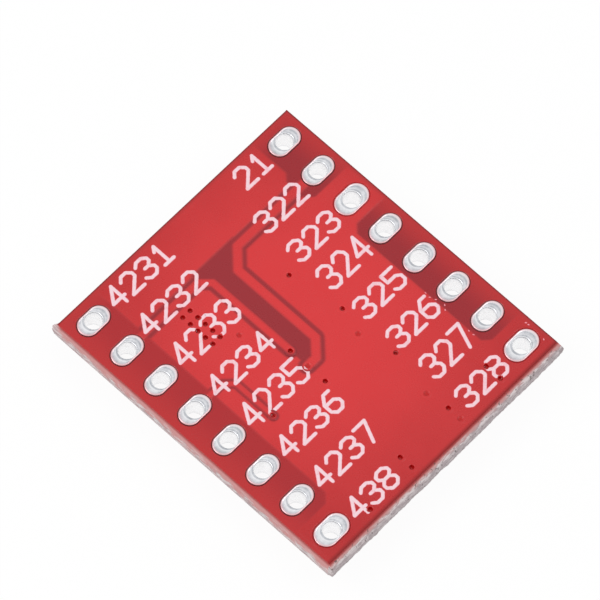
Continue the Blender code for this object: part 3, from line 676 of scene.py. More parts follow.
def plated_hole(name, centre, width, length):
    """One plated hole, as rings extruded round a closed section."""
    shape = bmesh.new()
    shine, mask_reflection = [shape.verts.layers.float.new(key) for key in ("shine", "mask_reflection")]
    verts, first = unit_ring(shape)
    edges, was = first, (1, 0, 0)
    for step, (radius, reach, z, looks) in enumerate(pad_rings(width, length)):
        if step:
            made = bmesh.ops.extrude_edge_only(shape, edges=edges)
            edges, verts = new_loop(made), new_verts(made)
        place_ring(verts, was, (radius, reach, z))
        was = (radius, reach, z)
        # Each ring carries its painted shine at both ends and its painted reflection of the red
        # mask.
        low_end, high_end, reflected_red = looks
        for vertex in verts:
            vertex[shine] = low_end + (high_end - low_end) * (0.5 + vertex.co.y / length)
            vertex[mask_reflection] = reflected_red
    bmesh.ops.bridge_loops(shape, edges=first + edges)
    bmesh.ops.translate(shape, verts=shape.verts, vec=(*centre, 0))
    for vertex in shape.verts:
        wave = noise.noise(vertex.co / TIN_RIPPLE_SIZE) * TIN_RIPPLE
        if vertex.co.z > TOP_FACE:
            vertex.co.z += wave
        elif vertex.co.z < UNDER_FACE:
            vertex.co.z -= wave
        else:
            vertex.co.x += wave
    bmesh.ops.recalc_face_normals(shape, faces=shape.faces)
    return finish_mesh(name, shape, 70)


tinned_holes = []
for label, pad in PADS.items():
    piece = plated_hole(f"tinned_hole_{label}", *pad)
    tinned_holes.append(settle(piece, "pad_tin", f"plated_pad_{label}"))
print("plated holes:", len(tinned_holes), "of", len(tinned_holes[0].data.polygons), "faces each")

# %% [markdown]
# The white numbers are screen-printed strokes of constant width with round ends. A
# straight stretch of ink is a tube that closes at both ends, and a digit is a few
# of them that overlap, which gives round corners for nothing. The tubes are then
# pressed flat and laid on the mask, so that they climb over the copper's edges and
# sink where they cross a via.

# %% Strokes of the digits
DIGIT_STROKES = {
    # places in the digit's cell, from 0 to 1 along and up
    "1": [[(0.25, 0.78), (0.50, 1), (0.50, 0)], [(0.1, 0), (0.9, 0)]],
    "2": [[(0, 0.80), (0.28, 1), (0.72, 1), (1, 0.80), (1, 0.62), (0, 0), (1, 0)]],
    "3": [[(0, 0.84), (0.28, 1), (0.72, 1), (1, 0.84), (1, 0.68), (0.72, 0.52), (0.40, 0.52)],
          [(0.72, 0.52), (1, 0.34), (1, 0.18), (0.72, 0), (0.28, 0), (0, 0.16)]],
    "4": [[(0.76, 0), (0.76, 1), (0, 0.30), (1, 0.30)]],
    "5": [[(0.95, 1), (0, 1), (0, 0.58), (0.70, 0.58), (1, 0.42), (1, 0.18), (0.72, 0), (0.25, 0),
           (0, 0.14)]],
    "6": [[(0.92, 1), (0.45, 1), (0, 0.62), (0, 0.20), (0.28, 0), (0.72, 0), (1, 0.20), (1, 0.38),
           (0.72, 0.56), (0, 0.56)]],
    "7": [[(0, 1), (1, 1), (0.35, 0)]],
    "8": [[(0.28, 0.53), (0, 0.69), (0, 0.84), (0.28, 1), (0.72, 1), (1, 0.84), (1, 0.69),
           (0.72, 0.53), (0.28, 0.53), (0, 0.34), (0, 0.18), (0.28, 0), (0.72, 0), (1, 0.18),
           (1, 0.34), (0.72, 0.53)]],
}
INK_WIDTH = 0.225 * MM
INK_THICKNESS = 0.012 * MM
INK_STEP = 0.055 * MM
INK_SINK = 0.24 * MM
INK_SINK_SPREAD = 0.02 * MM
INK_WOBBLE = 0.10
INK_WOBBLE_SIZE = 0.13 * MM
END_ANGLES = (4, 25, 50, 90)

# %% Where each number goes
NUMBERS = {
    "a": ("21", "322", "323", "324", "325", "326", "327", "328"),
    "b": ("4231", "4232", "4233", "4234", "4235", "4236", "4237", "438"),
}
TALL_NUMBERS = ("a4", "a7", "b3", "b5")
GLYPH_HEIGHT = 1.24 * MM
TALL_HEIGHT = 1.45 * MM
GLYPH_WIDTH = 0.87 * MM
GLYPH_ADVANCE = 1.20 * MM
ROW_A_END = 6.14 * MM
ROW_B_START = -6.15 * MM
BASELINES = {
    "a": (-8.35, -5.65, -3.15, -0.75, 1.80, 4.30, 6.95, 9.40),
    "b": (-8.40, -6.00, -3.30, -0.75, 1.85, 4.40, 7.00, 9.60),
}


def number_strokes(row, index):
    """Every straight stretch of one pin's number, as pairs of points on the board."""
    text = NUMBERS[row][index]
    height = TALL_HEIGHT if f"{row}{index + 1}" in TALL_NUMBERS else GLYPH_HEIGHT
    base = BASELINES[row][index] * MM
    start = ROW_B_START
    if row == "a":
        start = ROW_A_END - (len(text) - 1) * GLYPH_ADVANCE - GLYPH_WIDTH
    found = []
    for place, digit in enumerate(text):
        for stroke in DIGIT_STROKES[digit]:
            line = [(base - up * height, start + place * GLYPH_ADVANCE + along * GLYPH_WIDTH)
                    for along, up in stroke]
            found += list(zip(line, line[1:]))
    return found


# %% [markdown]
# Besides the numbers, the screen left a few crumbs of ink where a line of print ran
# along the edge of the motor pins' strip. They are tubes too, but very short.

# %% Printing the ink
CRUMBS = in_metres([
    (2.95, 6.28), (3.30, 6.22), (3.62, 6.36), (3.95, 6.24), (4.20, 6.50), (4.42, 6.30),
    (6.20, 6.26), (6.55, 6.24), (8.12, 8.76), (8.30, 8.79), (9.50, 8.74),
])
CRUMB_LENGTH = 0.05 * MM
CRUMB_WIDTH = 0.07 * MM


def ink_tube(curve, start, end, width=INK_WIDTH):
    """Adds a tube with round ends to a curve, as one of its splines."""
    start, end = Vector(start), Vector(end)
    along = (end - start).normalized()
    caps = [math.radians(angle) for angle in END_ANGLES]
    steps = max(1, round((end - start).length / INK_STEP))
    places = [(start - along * (width / 2) * math.cos(a), math.sin(a)) for a in caps]
    places += [(start.lerp(end, n / steps), 1) for n in range(1, steps)]
    places += [(end + along * (width / 2) * math.cos(a), math.sin(a)) for a in reversed(caps)]
    spline = curve.splines.new("POLY")
    spline.points.add(len(places) - 1)
    for point, (place, radius) in zip(spline.points, places):
        wobble = 1 + INK_WOBBLE * noise.noise(Vector((*place, 0)) / INK_WOBBLE_SIZE)
        point.co = (*place, 0, 1)
        point.radius = radius * wobble * width / INK_WIDTH


def tubes_as_mesh(curve):
    """The tubes of a curve, made into a bmesh."""
    tubes = bpy.data.objects.new("ink_tubes", curve)
    bpy.context.scene.collection.objects.link(tubes)
    bpy.context.view_layer.update()
    graph = bpy.context.evaluated_depsgraph_get()
    data = bpy.data.meshes.new_from_object(tubes.evaluated_get(graph))
    shape = bmesh.new()
    shape.from_mesh(data)
    bpy.data.objects.remove(tubes)
    bpy.data.meshes.remove(data)
    return shape


def press_flat(shape, copper_of, face_z, outward):
    """Presses round tubes onto the mask of one face and stores how thick they are."""
    keep_value(shape, "cover", [max(0.0, v.co.z / (INK_WIDTH / 2)) for v in shape.verts])
    x, y = point_places(shape)
    rise = mask_rise(x, y, copper_of(x, y))
    near_via = soften(VIA_RADIUS - via_distance(x, y, OPEN_VIAS + TENTED_VIAS), INK_SINK_SPREAD)
    for n, vertex in enumerate(shape.verts):
        height = vertex.co.z / (INK_WIDTH / 2) * INK_THICKNESS
        lift = rise[n] + ripple_at(vertex.co) + height - INK_SINK * near_via[n]
        vertex.co.z = face_z + outward * lift
    bmesh.ops.remove_doubles(shape, verts=shape.verts, dist=WELD)
    bmesh.ops.recalc_face_normals(shape, faces=shape.faces)


def ink_curve():
    """An empty curve whose splines become tubes as wide as a stroke."""
    curve = bpy.data.curves.new("ink_tubes", "CURVE")
    curve.dimensions = "3D"
    curve.bevel_depth = INK_WIDTH / 2
    curve.bevel_resolution = 2
    curve.use_fill_caps = True
    return curve


def print_numbers():
    """All the ink of the solder side, in one piece."""
    curve = ink_curve()
    for row in PIN_ROWS:
        for index in range(PINS_PER_ROW):
            for start, end in number_strokes(row, index):
                ink_tube(curve, start, end)
    for n, (x, y) in enumerate(CRUMBS):
        ink_tube(curve, (x, y), (x + CRUMB_LENGTH, y + CRUMB_LENGTH * math.sin(n)), CRUMB_WIDTH)
    shape = tubes_as_mesh(curve)
    press_flat(shape, solder_side_copper, TOP_FACE, 1)
    return finish_mesh("printed_numbers", shape, 80)


ink = settle(print_numbers(), "solder_mask")
print("printed numbers:", len(ink.data.polygons), "faces")

# %% [markdown]
# The board was snapped out of a larger panel along scored grooves. A groove leaves
# a slope above and below, and between them the glass cloth tore and stands out
# rough. The band is a rectangle of many short edges, extruded down through the
# section of that edge, and pushed out here and there by noise.

# %% Snapped edges
EDGE_CELL = 0.055 * MM
SNAPPED_WEB = 0.33 * MM
CLEAN_WEB = 0.07 * MM
SIDE_WEB = LAMINATE_HIGH.y - HALF_WIDTH
SNAPPED_TEAR = 0.060 * MM
CLEAN_TEAR = 0.030 * MM
SIDE_TEAR = 0.040 * MM
BAND_INSET = 0.30 * MM
EDGE_SECTION = (
    # share of the web's reach, share of the board's thickness from the top
    (0.00, 0.000), (0.12, 0.020), (0.35, 0.105), (0.68, 0.205), (1.00, 0.300), (1.00, 0.350),
    (1.00, 0.400), (1.00, 0.450), (1.00, 0.500), (1.00, 0.550), (1.00, 0.600), (1.00, 0.650),
    (1.00, 0.700), (0.68, 0.795), (0.35, 0.895), (0.00, 1.000),
)
TEAR_LONG = 0.55 * MM
TEAR_SHORT = 0.15 * MM
NIB_RUN = 0.25 * MM
NIB_DEPTH = 0.3 * (TOP_FACE - UNDER_FACE)
ON_LINE = 0.001 * MM
LEFT_NIB = 0.22 * MM
RIGHT_NIB = 0.08 * MM


def perimeter():
    """The board's outline as a loop of short edges."""
    shape = bmesh.new()
    bmesh.ops.create_grid(shape, x_segments=1, y_segments=1, size=1)
    bmesh.ops.scale(shape, verts=shape.verts, vec=(HALF_LENGTH, HALF_WIDTH, 1))
    bmesh.ops.delete(shape, geom=shape.faces[:], context="FACES_ONLY")
    for edge in shape.edges[:]:
        cuts = round(edge.calc_length() / EDGE_CELL) - 1
        bmesh.ops.subdivide_edges(shape, edges=[edge], cuts=cuts)
    return shape


def tear(place, strength):
    """How far the torn cloth stands out at a place on the edge."""
    long_way = Vector((place.x, place.y, place.z * 5)) / TEAR_LONG
    short_way = Vector((place.x, place.y, place.z * 2)) / TEAR_SHORT
    torn = 0.5 + 0.6 * noise.noise(long_way) + 0.5 * noise.noise(short_way)
    return strength * max(0.0, torn)


def nib(place):
    """How near a place is to a corner where the panel left a nib: 1 at the corner."""
    from_corner = max(HALF_LENGTH - abs(place.x), HALF_WIDTH - abs(place.y))
    down = (TOP_FACE - place.z) / NIB_DEPTH
    return math.sqrt(max(0.0, 1 - from_corner / NIB_RUN)) * min(1.0, down)


def push_out(vertex, reach, z):
    """Moves a point of the outline out by its side's share of the web."""
    x, y = vertex.co.x, vertex.co.y
    place = Vector((x, y, z))
    on_end = HALF_LENGTH - abs(x) < ON_LINE
    on_side = HALF_WIDTH - abs(y) < ON_LINE
    if reach < 0:
        out_x = out_y = -BAND_INSET
    elif x > 0:
        out_x = reach * (SNAPPED_WEB + tear(place, SNAPPED_TEAR))
        out_y = reach * (SIDE_WEB + tear(place, SIDE_TEAR)) + RIGHT_NIB * nib(place) * (y > 0)
    else:
        out_x = reach * (CLEAN_WEB + tear(place, CLEAN_TEAR)) + LEFT_NIB * nib(place) * (y < 0)
        out_y = reach * (SIDE_WEB + tear(place, SIDE_TEAR))
    new_x = x + math.copysign(1, x) * out_x * on_end
    new_y = y + math.copysign(1, y) * out_y * on_side
    vertex.co = (new_x, new_y, z)


def snapped_band():
    """The torn and scored edge all the way round the board."""
    shape = perimeter()
    first = shape.edges[:]
    edges, verts = first, shape.verts[:]
    thickness = TOP_FACE - UNDER_FACE
    rings = [(-1, 0.0), *EDGE_SECTION, (-1, 1.0)]
    kept = []
    for step in range(len(rings)):
        if step:
            made = bmesh.ops.extrude_edge_only(shape, edges=edges)
            edges, verts = new_loop(made), new_verts(made)
        kept.append(verts)
    for verts, (reach, down) in zip(kept, rings):
        for vertex in verts:
            push_out(vertex, reach, TOP_FACE - down * thickness)
    bmesh.ops.bridge_loops(shape, edges=first + edges)
    bmesh.ops.recalc_face_normals(shape, faces=shape.faces)
    return finish_mesh("snapped_edges", shape, 50)


snapped_edges = settle(snapped_band(), "glass_epoxy", "laminate")
print("snapped edges:", len(snapped_edges.data.polygons), "faces")

# %% [markdown]
# Inside the band lies the rest of the board, with its sixteen holes. It is a copy of
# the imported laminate, merged and cut off square on all four sides, so that its holes
# stay exactly where they are. The cut faces are closed again and lie in the band.

# %% Core of the laminate
CORE_INSET = 0.5 * BAND_INSET


def laminate_core():
    """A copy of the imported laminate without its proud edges."""
    shape = bmesh.new()
    shape.from_mesh(bpy.data.objects["laminate"].data)
    bmesh.ops.remove_doubles(shape, verts=shape.verts, dist=2 * WELD)
    for axis, half in ((0, HALF_LENGTH), (1, HALF_WIDTH)):
        for sign in (-1, 1):
            outwards = Vector((0, 0, 0))
            outwards[axis] = sign
            everything = shape.verts[:] + shape.edges[:] + shape.faces[:]
            made = bmesh.ops.bisect_plane(
                shape, geom=everything, plane_co=outwards * (half - CORE_INSET),
                plane_no=outwards, clear_outer=True)
            rim = [g for g in made["geom_cut"] if isinstance(g, bmesh.types.BMEdge)]
            bmesh.ops.holes_fill(shape, edges=rim, sides=0)
    bmesh.ops.recalc_face_normals(shape, faces=shape.faces)
    return finish_mesh("laminate_core", shape, 30)


core = settle(laminate_core(), "glass_epoxy", "laminate")
print("laminate core:", len(core.data.polygons), "faces")

# %% [markdown]
# The side with the parts has its own sheet of mask, made in the same way. Here each
# soldering land needs a rectangular window. A land is the part of a lead's box that
# lies flat on the board, and a capacitor's land is the whole box of its end.

# %% Lands and the mask round them
LAND_LENGTH = 0.95 * MM
LAND_GAP = 0.05 * MM
CAPACITORS = ("bulk_capacitor_1", "bulk_capacitor_2", "bypass_capacitor_1", "bypass_capacitor_2")
LEADS = [f"driver_lead_{n:02d}" for n in range(1, 2 * LEADS_PER_SIDE + 1)]
CAP_ENDS = [f"{name}_end_{n}" for name in CAPACITORS for n in (1, 2)]


def lead_land(name):
    """The rectangle of the land under one lead, from its outer end inwards."""
    low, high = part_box(name)
    if high.y > 0:
        return low.x, high.y - LAND_LENGTH, high.x, high.y
    return low.x, low.y, high.x, low.y + LAND_LENGTH


def cap_land(name):
    """The rectangle of the land under one end of a capacitor."""
    low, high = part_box(name)
    return low.x, low.y, high.x, high.y


def grown(rectangle, by):
    """A rectangle made larger on all sides."""
    low_x, low_y, high_x, high_y = rectangle
    return low_x - by, low_y - by, high_x + by, high_y + by


LANDS = [lead_land(name) for name in LEADS] + [cap_land(name) for name in CAP_ENDS]
WINDOWS = [grown(land, LAND_GAP) for land in LANDS]
under_film = mask_sheet("component_side_film", component_side_copper, UNDER_FACE, -1, WINDOWS)
under_collars = window_collars("component_side_collars", component_side_copper, UNDER_FACE, -1)
under_wells = via_inserts("component_side_wells", OPEN_VIAS, WELL,
                          component_side_copper, UNDER_FACE, -1)
settle(under_film, "solder_mask", "component_side_mask")
settle(under_collars, "solder_mask")
settle(under_wells, "solder_mask")
print("component side film:", len(under_film.data.polygons), "faces round", len(LANDS), "lands")

# %% [markdown]
# Solder climbs from a land up the end of the lead or the capacitor that stands on
# it, in a hollow curve. One such fillet is a small grid: its height follows that
# curve away from the metal and drops at its sides, and an extrusion up to the land
# closes it. The same shape serves every lead and every capacitor end.

# %% Solder fillets
FILLET_COLUMNS = 8
FILLET_ROWS = 10
FILLET_HOLLOW = 2.2
FILLET_CROWN = 4
FILLET_TAPER = 0.16
FILLET_SINK = 0.02 * MM
LAND_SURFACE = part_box("component_side_mask")[0].z
LEAD_FILLET = 0.17 * MM
CAP_FILLET_SHARE = 0.62
LEAD_FILLET_RUN = LEAD_TOE + 0.02 * MM
CAP_TOE = 0.25 * MM


def fillet(shape, rectangle, side, height):
    """Adds a hollow fillet on a land; it is highest at its inner edge."""
    low_x, low_y, high_x, high_y = rectangle
    length, middle_x = high_y - low_y, (low_x + high_x) / 2
    inner_y = low_y if side > 0 else high_y
    made = bmesh.ops.create_grid(shape, x_segments=FILLET_COLUMNS, y_segments=FILLET_ROWS, size=0.5)
    verts = made["verts"]
    faces = list({face for vertex in verts for face in vertex.link_faces})
    for vertex in verts:
        across = 2 * vertex.co.x
        away = vertex.co.y + 0.5
        crown = 1 - abs(across) ** FILLET_CROWN
        narrowed = 1 - FILLET_TAPER * away ** 3
        drop = height * (1 - away) ** FILLET_HOLLOW * crown
        vertex.co = (middle_x + vertex.co.x * (high_x - low_x) * narrowed,
                     inner_y + side * away * length, LAND_SURFACE - drop)
    under = bmesh.ops.extrude_face_region(shape, geom=faces, use_keep_orig=True)
    for vertex in new_verts(under):
        vertex.co.z = LAND_SURFACE + FILLET_SINK


def solder_fillets():
    """All the fillets of the component side, in one piece."""
    shape = bmesh.new()
    for name in LEADS:
        low_x, low_y, high_x, high_y = lead_land(name)
        side = 1 if high_y > 0 else -1
        toe = (low_y, low_y + LEAD_FILLET_RUN)
        if side > 0:
            toe = (high_y - LEAD_FILLET_RUN, high_y)
        fillet(shape, (low_x, toe[0], high_x, toe[1]), side, LEAD_FILLET)
    for name in CAP_ENDS:
        low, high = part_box(name)
        side = 1 if name.endswith("1") else -1
        toe = (high.y - CAP_TOE, high.y) if side > 0 else (low.y, low.y + CAP_TOE)
        height = CAP_FILLET_SHARE * (high.z - low.z)
        fillet(shape, (low.x, toe[0], high.x, toe[1]), side, height)
    bmesh.ops.recalc_face_normals(shape, faces=shape.faces)
    return finish_mesh("solder_fillets", shape, 60)


fillets = settle(solder_fillets(), "lead_tin")
print("solder fillets:", len(fillets.data.polygons), "faces")

# %% [markdown]
# The print of the component side is kept to what such a board needs for fitting its
# parts: corner marks round the chip, a dot at its first lead, and a pair of lines
# beside each capacitor. They are strokes of ink like the numbers.

# %% Marks of the component side
MARK_WIDTH = 0.15 * MM
MARK_GAP = 0.32 * MM
CORNER_RUN = 0.275 * MM
DOT_RUN = 0.01 * MM
DOT_WIDTH = 2.4 * MARK_WIDTH
CHIP_END_RUN = 2.45 * MM


def chip_marks():
    """A line along each end of the chip, between its two rows of leads."""
    found = []
    for x in (CHIP_LOW.x - MARK_GAP, CHIP_HIGH.x + MARK_GAP):
        found.append(((x, -CHIP_END_RUN), (x, CHIP_END_RUN)))
        inward = math.copysign(CORNER_RUN, CHIP_X - x)
        for y in (-CHIP_END_RUN, CHIP_END_RUN):
            found.append(((x, y), (x + inward, y + math.copysign(CORNER_RUN, y))))
    return found


def capacitor_marks():
    """A line along each side of every capacitor."""
    found = []
    for name in CAPACITORS:
        low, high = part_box(f"{name}_body")
        for x in (low.x - MARK_GAP, high.x + MARK_GAP):
            found.append(((x, low.y), (x, high.y)))
    return found


def print_marks():
    """The ink of the component side, pressed onto its mask."""
    curve = ink_curve()
    for start, end in chip_marks() + capacitor_marks():
        ink_tube(curve, start, end, MARK_WIDTH)
    dot_x, dot_y = CHIP_LOW.x - MARK_GAP, LEAD_TIP_Y - LEAD_TOE
    ink_tube(curve, (dot_x, dot_y), (dot_x + DOT_RUN, dot_y), DOT_WIDTH)
    shape = tubes_as_mesh(curve)
    press_flat(shape, component_side_copper, UNDER_FACE, -1)
    return finish_mesh("component_side_marks", shape, 80)


marks = settle(print_marks(), "solder_mask")
print("marks of the component side:", len(marks.data.polygons), "faces")

# %% [markdown]
# Materials start here. Colours are written as a screen shows them, from 0 to 255,
# and turned into the linear values that Blender mixes. Small helpers keep the node
# trees readable: one adds a node and fills its inputs, others mix or ramp values.

# %% Helpers for materials
def shade(red, green, blue):
    """A colour as a screen shows it, as linear values with full alpha."""
    def linear(level):
        level /= 255
        return level / 12.92 if level <= 0.04045 else ((level + 0.055) / 1.055) ** 2.4
    return (linear(red), linear(green), linear(blue), 1.0)


def add_node(tree, kind, inputs=None, **settings):
    """Adds a node, sets its options, and fills its inputs with values or links."""
    made = tree.nodes.new(kind)
    for key, value in settings.items():
        setattr(made, key, value)
    for key, value in (inputs or {}).items():
        if isinstance(value, bpy.types.NodeSocket):
            tree.links.new(value, made.inputs[key])
        else:
            made.inputs[key].default_value = value
    return made


def mix_colours(tree, share, first, second):
    """The colour between two, by a share from 0 to 1."""
    made = add_node(tree, "ShaderNodeMix", {0: share, 6: first, 7: second}, data_type="RGBA")
    return made.outputs[2]


def ramp_value(tree, value, low, high, to_low=0.0, to_high=1.0):
    """A value taken smoothly from one range to another."""
    ends = {"Value": value, "From Min": low, "From Max": high, "To Min": to_low, "To Max": to_high}
    made = add_node(tree, "ShaderNodeMapRange", ends, interpolation_type="SMOOTHSTEP")
    return made.outputs["Result"]


def combine(tree, operation, first, second=0.0):
    """The result of a Math node on one or two values."""
    return add_node(tree, "ShaderNodeMath", {0: first, 1: second}, operation=operation).outputs[0]


def new_material(name):
    """An empty material with its Principled shader, joined to the output."""
    made = bpy.data.materials.new(name)
    made.use_nodes = True
    tree = made.node_tree
    tree.nodes.clear()
    shader = add_node(tree, "ShaderNodeBsdfPrincipled")
    add_node(tree, "ShaderNodeOutputMaterial", {"Surface": shader.outputs["BSDF"]})
    return made, tree, shader


def dress(material, *pieces):
    """Gives pieces this material and no other."""
    for piece in pieces:
        piece.data.materials.clear()
        piece.data.materials.append(material)


# %% [markdown]
# Two effects serve several materials, so each is a node group. The first gives a
# patchy tone that turns a flat colour into one with slow and quick variation. The
# second gives the height of a fine grain, which each material feeds to its own
# Bump node at its own strength.

# %% Shared effects
def new_group(name, inputs, output):
    """A shader node group with named values in and one value out."""
    group = bpy.data.node_groups.new(name, "ShaderNodeTree")
    for label, value in inputs.items():
        socket = group.interface.new_socket(label, in_out="INPUT", socket_type="NodeSocketFloat")
        socket.default_value = value
    group.interface.new_socket(output, in_out="OUTPUT", socket_type="NodeSocketFloat")
    return group, group.nodes.new("NodeGroupInput"), group.nodes.new("NodeGroupOutput")


def mix_values(tree, share, first, second):
    """The value between two, by a share from 0 to 1."""
    ends = {0: share, 2: first, 3: second}
    return add_node(tree, "ShaderNodeMix", ends, data_type="FLOAT").outputs[0]


def noise_value(tree, place, per_mm, detail):
    """Noise at a place, with so many swings to the millimetre."""
    inputs = {"Vector": place, "Scale": combine(tree, "DIVIDE", per_mm, MM), "Detail": detail}
    return add_node(tree, "ShaderNodeTexNoise", inputs).outputs["Fac"]


def build_patchy_tone():
    """Slow patches with quick specks on them, as one value from 0 to 1."""
    inputs = {"Patches per mm": 0.5, "Specks per mm": 8.0}
    group, given, result = new_group("patchy_tone", inputs, "Tone")
    place = add_node(group, "ShaderNodeTexCoord").outputs["Object"]
    slow = noise_value(group, place, given.outputs["Patches per mm"], 3.0)
    quick = noise_value(group, place, given.outputs["Specks per mm"], 2.0)
    tone = ramp_value(group, mix_values(group, 0.35, slow, quick), 0.35, 0.65)
    group.links.new(tone, result.inputs["Tone"])
    return group


def build_fine_grain():
    """The height of a fine grain with a slower swell under it."""
    inputs = {"Grains per mm": 20.0, "Swell": 0.5}
    group, given, result = new_group("fine_grain", inputs, "Height")
    place = add_node(group, "ShaderNodeTexCoord").outputs["Object"]
    grain = noise_value(group, place, given.outputs["Grains per mm"], 2.0)
    slower = combine(group, "MULTIPLY", given.outputs["Grains per mm"], 0.15)
    swell = noise_value(group, place, slower, 1.0)
    group.links.new(mix_values(group, given.outputs["Swell"], grain, swell), result.inputs["Height"])
    return group


PATCHY_TONE = build_patchy_tone()
FINE_GRAIN = build_fine_grain()


def patchy_tone(tree, patches, specks):
    """Places the patchy tone in a material and gives its value."""
    placed = add_node(tree, "ShaderNodeGroup", node_tree=PATCHY_TONE)
    placed.inputs["Patches per mm"].default_value = patches
    placed.inputs["Specks per mm"].default_value = specks
    return placed.outputs["Tone"]


def grain_normal(tree, grains, swell, height):
    """Places the fine grain in a material and gives the normal that it bends."""
    placed = add_node(tree, "ShaderNodeGroup", node_tree=FINE_GRAIN)
    placed.inputs["Grains per mm"].default_value = grains
    placed.inputs["Swell"].default_value = swell
    inputs = {"Height": placed.outputs["Height"], "Distance": height}
    return add_node(tree, "ShaderNodeBump", inputs).outputs["Normal"]


print("shared effects:", PATCHY_TONE.name, "and", FINE_GRAIN.name)

# %% [markdown]
# The red mask is a clear film with pigment. Over copper the light comes back at
# once and the red is bright; beside it the light sinks into the board and the red
# is deep. Near the cut edges some light comes in from the side and lifts it again.
# Over copper the red is painted lighter in the middle and darker towards the board's
# ends, as a painted sheen of the gloss.

# %% Red solder mask
MASK_MIDDLE = shade(216, 48, 51)
MASK_END_SHADE = shade(176, 30, 33)
MASK_CLOUD = shade(224, 60, 62)
MASK_FIELD = shade(151, 31, 40)
MASK_STRIP_A = shade(154, 27, 36)
MASK_STRIP_B = shade(173, 30, 36)
MASK_EDGE_LIT = shade(188, 39, 41)
MASK_CUT = shade(136, 5, 7)
MASK_GROOVE_SHADOW = shade(92, 22, 24)
MASK_WELL = shade(182, 2, 2)
WINDOW_GAP_SHADE = shade(84, 24, 26)
MASK_SHEEN_CENTRE = (-0.5 * MM, 0.5 * MM, 0.0)


def place_parts(tree):
    """Object coordinates in metres, whole and as three separate values."""
    coords = add_node(tree, "ShaderNodeTexCoord").outputs["Object"]
    parts = add_node(tree, "ShaderNodeSeparateXYZ", {"Vector": coords}).outputs
    return coords, parts["X"], parts["Y"], parts["Z"]


def attribute(tree, name):
    """A value that the mesh carries on its points."""
    return add_node(tree, "ShaderNodeAttribute", attribute_name=name).outputs["Fac"]


def darkened_edges(tree, x, y, red):
    """Darker red along the snapped end, and a thin painted shadow of the scored groove on two other
    edges.
    """
    broad = ramp_value(tree, x, HALF_LENGTH - 0.27 * MM, HALF_LENGTH + 0.02 * MM)
    red = mix_colours(tree, broad, red, MASK_CUT)
    off_end = combine(tree, "SUBTRACT", combine(tree, "MULTIPLY", x, -1.0), HALF_LENGTH)
    off_side = combine(tree, "SUBTRACT", y, HALF_WIDTH)
    nearest = combine(tree, "MAXIMUM", off_end, off_side)
    # A painted shadow of the groove: a thin dark line along the -X end and the +Y side.
    thin = ramp_value(tree, nearest, -0.13 * MM, -0.03 * MM, 0.0, 0.65)
    return mix_colours(tree, thin, red, MASK_GROOVE_SHADOW)


def mask_red(tree, x, y):
    """The red at each place, from the copper beneath and the distance to the edges, with painted
    light and shade.
    """
    flat = add_node(tree, "ShaderNodeCombineXYZ", {"X": x, "Y": y}).outputs["Vector"]
    # Painted sheen: over copper the red is lightest near the middle and painted darker towards the
    # ends.
    away = add_node(tree, "ShaderNodeVectorMath", {0: flat, 1: MASK_SHEEN_CENTRE}, operation="DISTANCE")
    far = ramp_value(tree, away.outputs["Value"], 3.0 * MM, 15.0 * MM)
    copper_red = mix_colours(tree, far, MASK_MIDDLE, MASK_END_SHADE)
    cloud = combine(tree, "MULTIPLY", patchy_tone(tree, 0.35, 9.0), 0.18)
    copper_red = mix_colours(tree, cloud, copper_red, MASK_CLOUD)
    motor_end = ramp_value(tree, x, 3 * MM, 9 * MM, 0, 0.4)
    a_side = combine(tree, "MAXIMUM", ramp_value(tree, y, 0.0, MM), motor_end)
    strip_red = mix_colours(tree, a_side, MASK_STRIP_B, MASK_STRIP_A)
    bare_red = mix_colours(tree, attribute(tree, "strip"), MASK_FIELD, strip_red)
    lit_side = ramp_value(tree, combine(tree, "ABSOLUTE", y), 7.2 * MM, HALF_WIDTH, 0.0, 0.9)
    lit_end = ramp_value(tree, x, -8.6 * MM, -HALF_LENGTH, 0.0, 0.9)
    lit = combine(tree, "MAXIMUM", lit_side, lit_end)
    bare_red = mix_colours(tree, lit, bare_red, MASK_EDGE_LIT)
    red = mix_colours(tree, attribute(tree, "copper"), bare_red, copper_red)
    red = darkened_edges(tree, x, y, red)
    # The gaps round the tin take their painted shade.
    return mix_colours(tree, attribute(tree, "window"), red, WINDOW_GAP_SHADE)


def build_red_mask(name, has_wells):
    """The mask's material; on the via inserts it darkens as it goes down."""
    material, tree, shader = new_material(name)
    _, x, y, z = place_parts(tree)
    red = mask_red(tree, x, y)
    if has_wells:
        middle = (TOP_FACE + UNDER_FACE) / 2
        from_middle = combine(tree, "ABSOLUTE", combine(tree, "SUBTRACT", z, middle))
        face = TOP_FACE - middle
        up = ramp_value(tree, from_middle, face + 0.010 * MM, face + 0.054 * MM)
        red = mix_colours(tree, up, MASK_WELL, red)
    tree.links.new(red, shader.inputs["Base Color"])
    shine = ramp_value(tree, patchy_tone(tree, 1.2, 14.0), 0, 1, 0.24, 0.34)
    tree.links.new(shine, shader.inputs["Roughness"])
    tree.links.new(grain_normal(tree, 6.0, 0.6, 0.0012 * MM), shader.inputs["Normal"])
    shader.inputs["Specular IOR Level"].default_value = 0.4
    return material


RED_MASK = build_red_mask("red_mask", False)
RED_WELLS = build_red_mask("red_mask_wells", True)
dress(RED_MASK, solder_film, collars, under_film, under_collars)
dress(RED_WELLS, open_wells, tented_dishes, under_wells)
print("dressed the mask of both sides")

# %% [markdown]
# Tin that was melted on and blown level gets a painted highlight where it curves
# and stays greyer where it lies flat. On the flanges the rings of the mesh carry the
# painted highlight, painted shade and a pink painted reflection of the red mask, and
# on the imported leads the slope of the surface sets the painted highlight. Slow
# patches break up both the colour and the roughness.

# %% Tin
TIN_HIGHLIGHT = shade(251, 251, 252)
TIN_MASK_REFLECTION = shade(222, 181, 185)
TIN_FLAT = shade(218, 219, 224)
TIN_DULL = shade(176, 178, 184)
TIN_PAINTED_SHADE = shade(134, 142, 148)


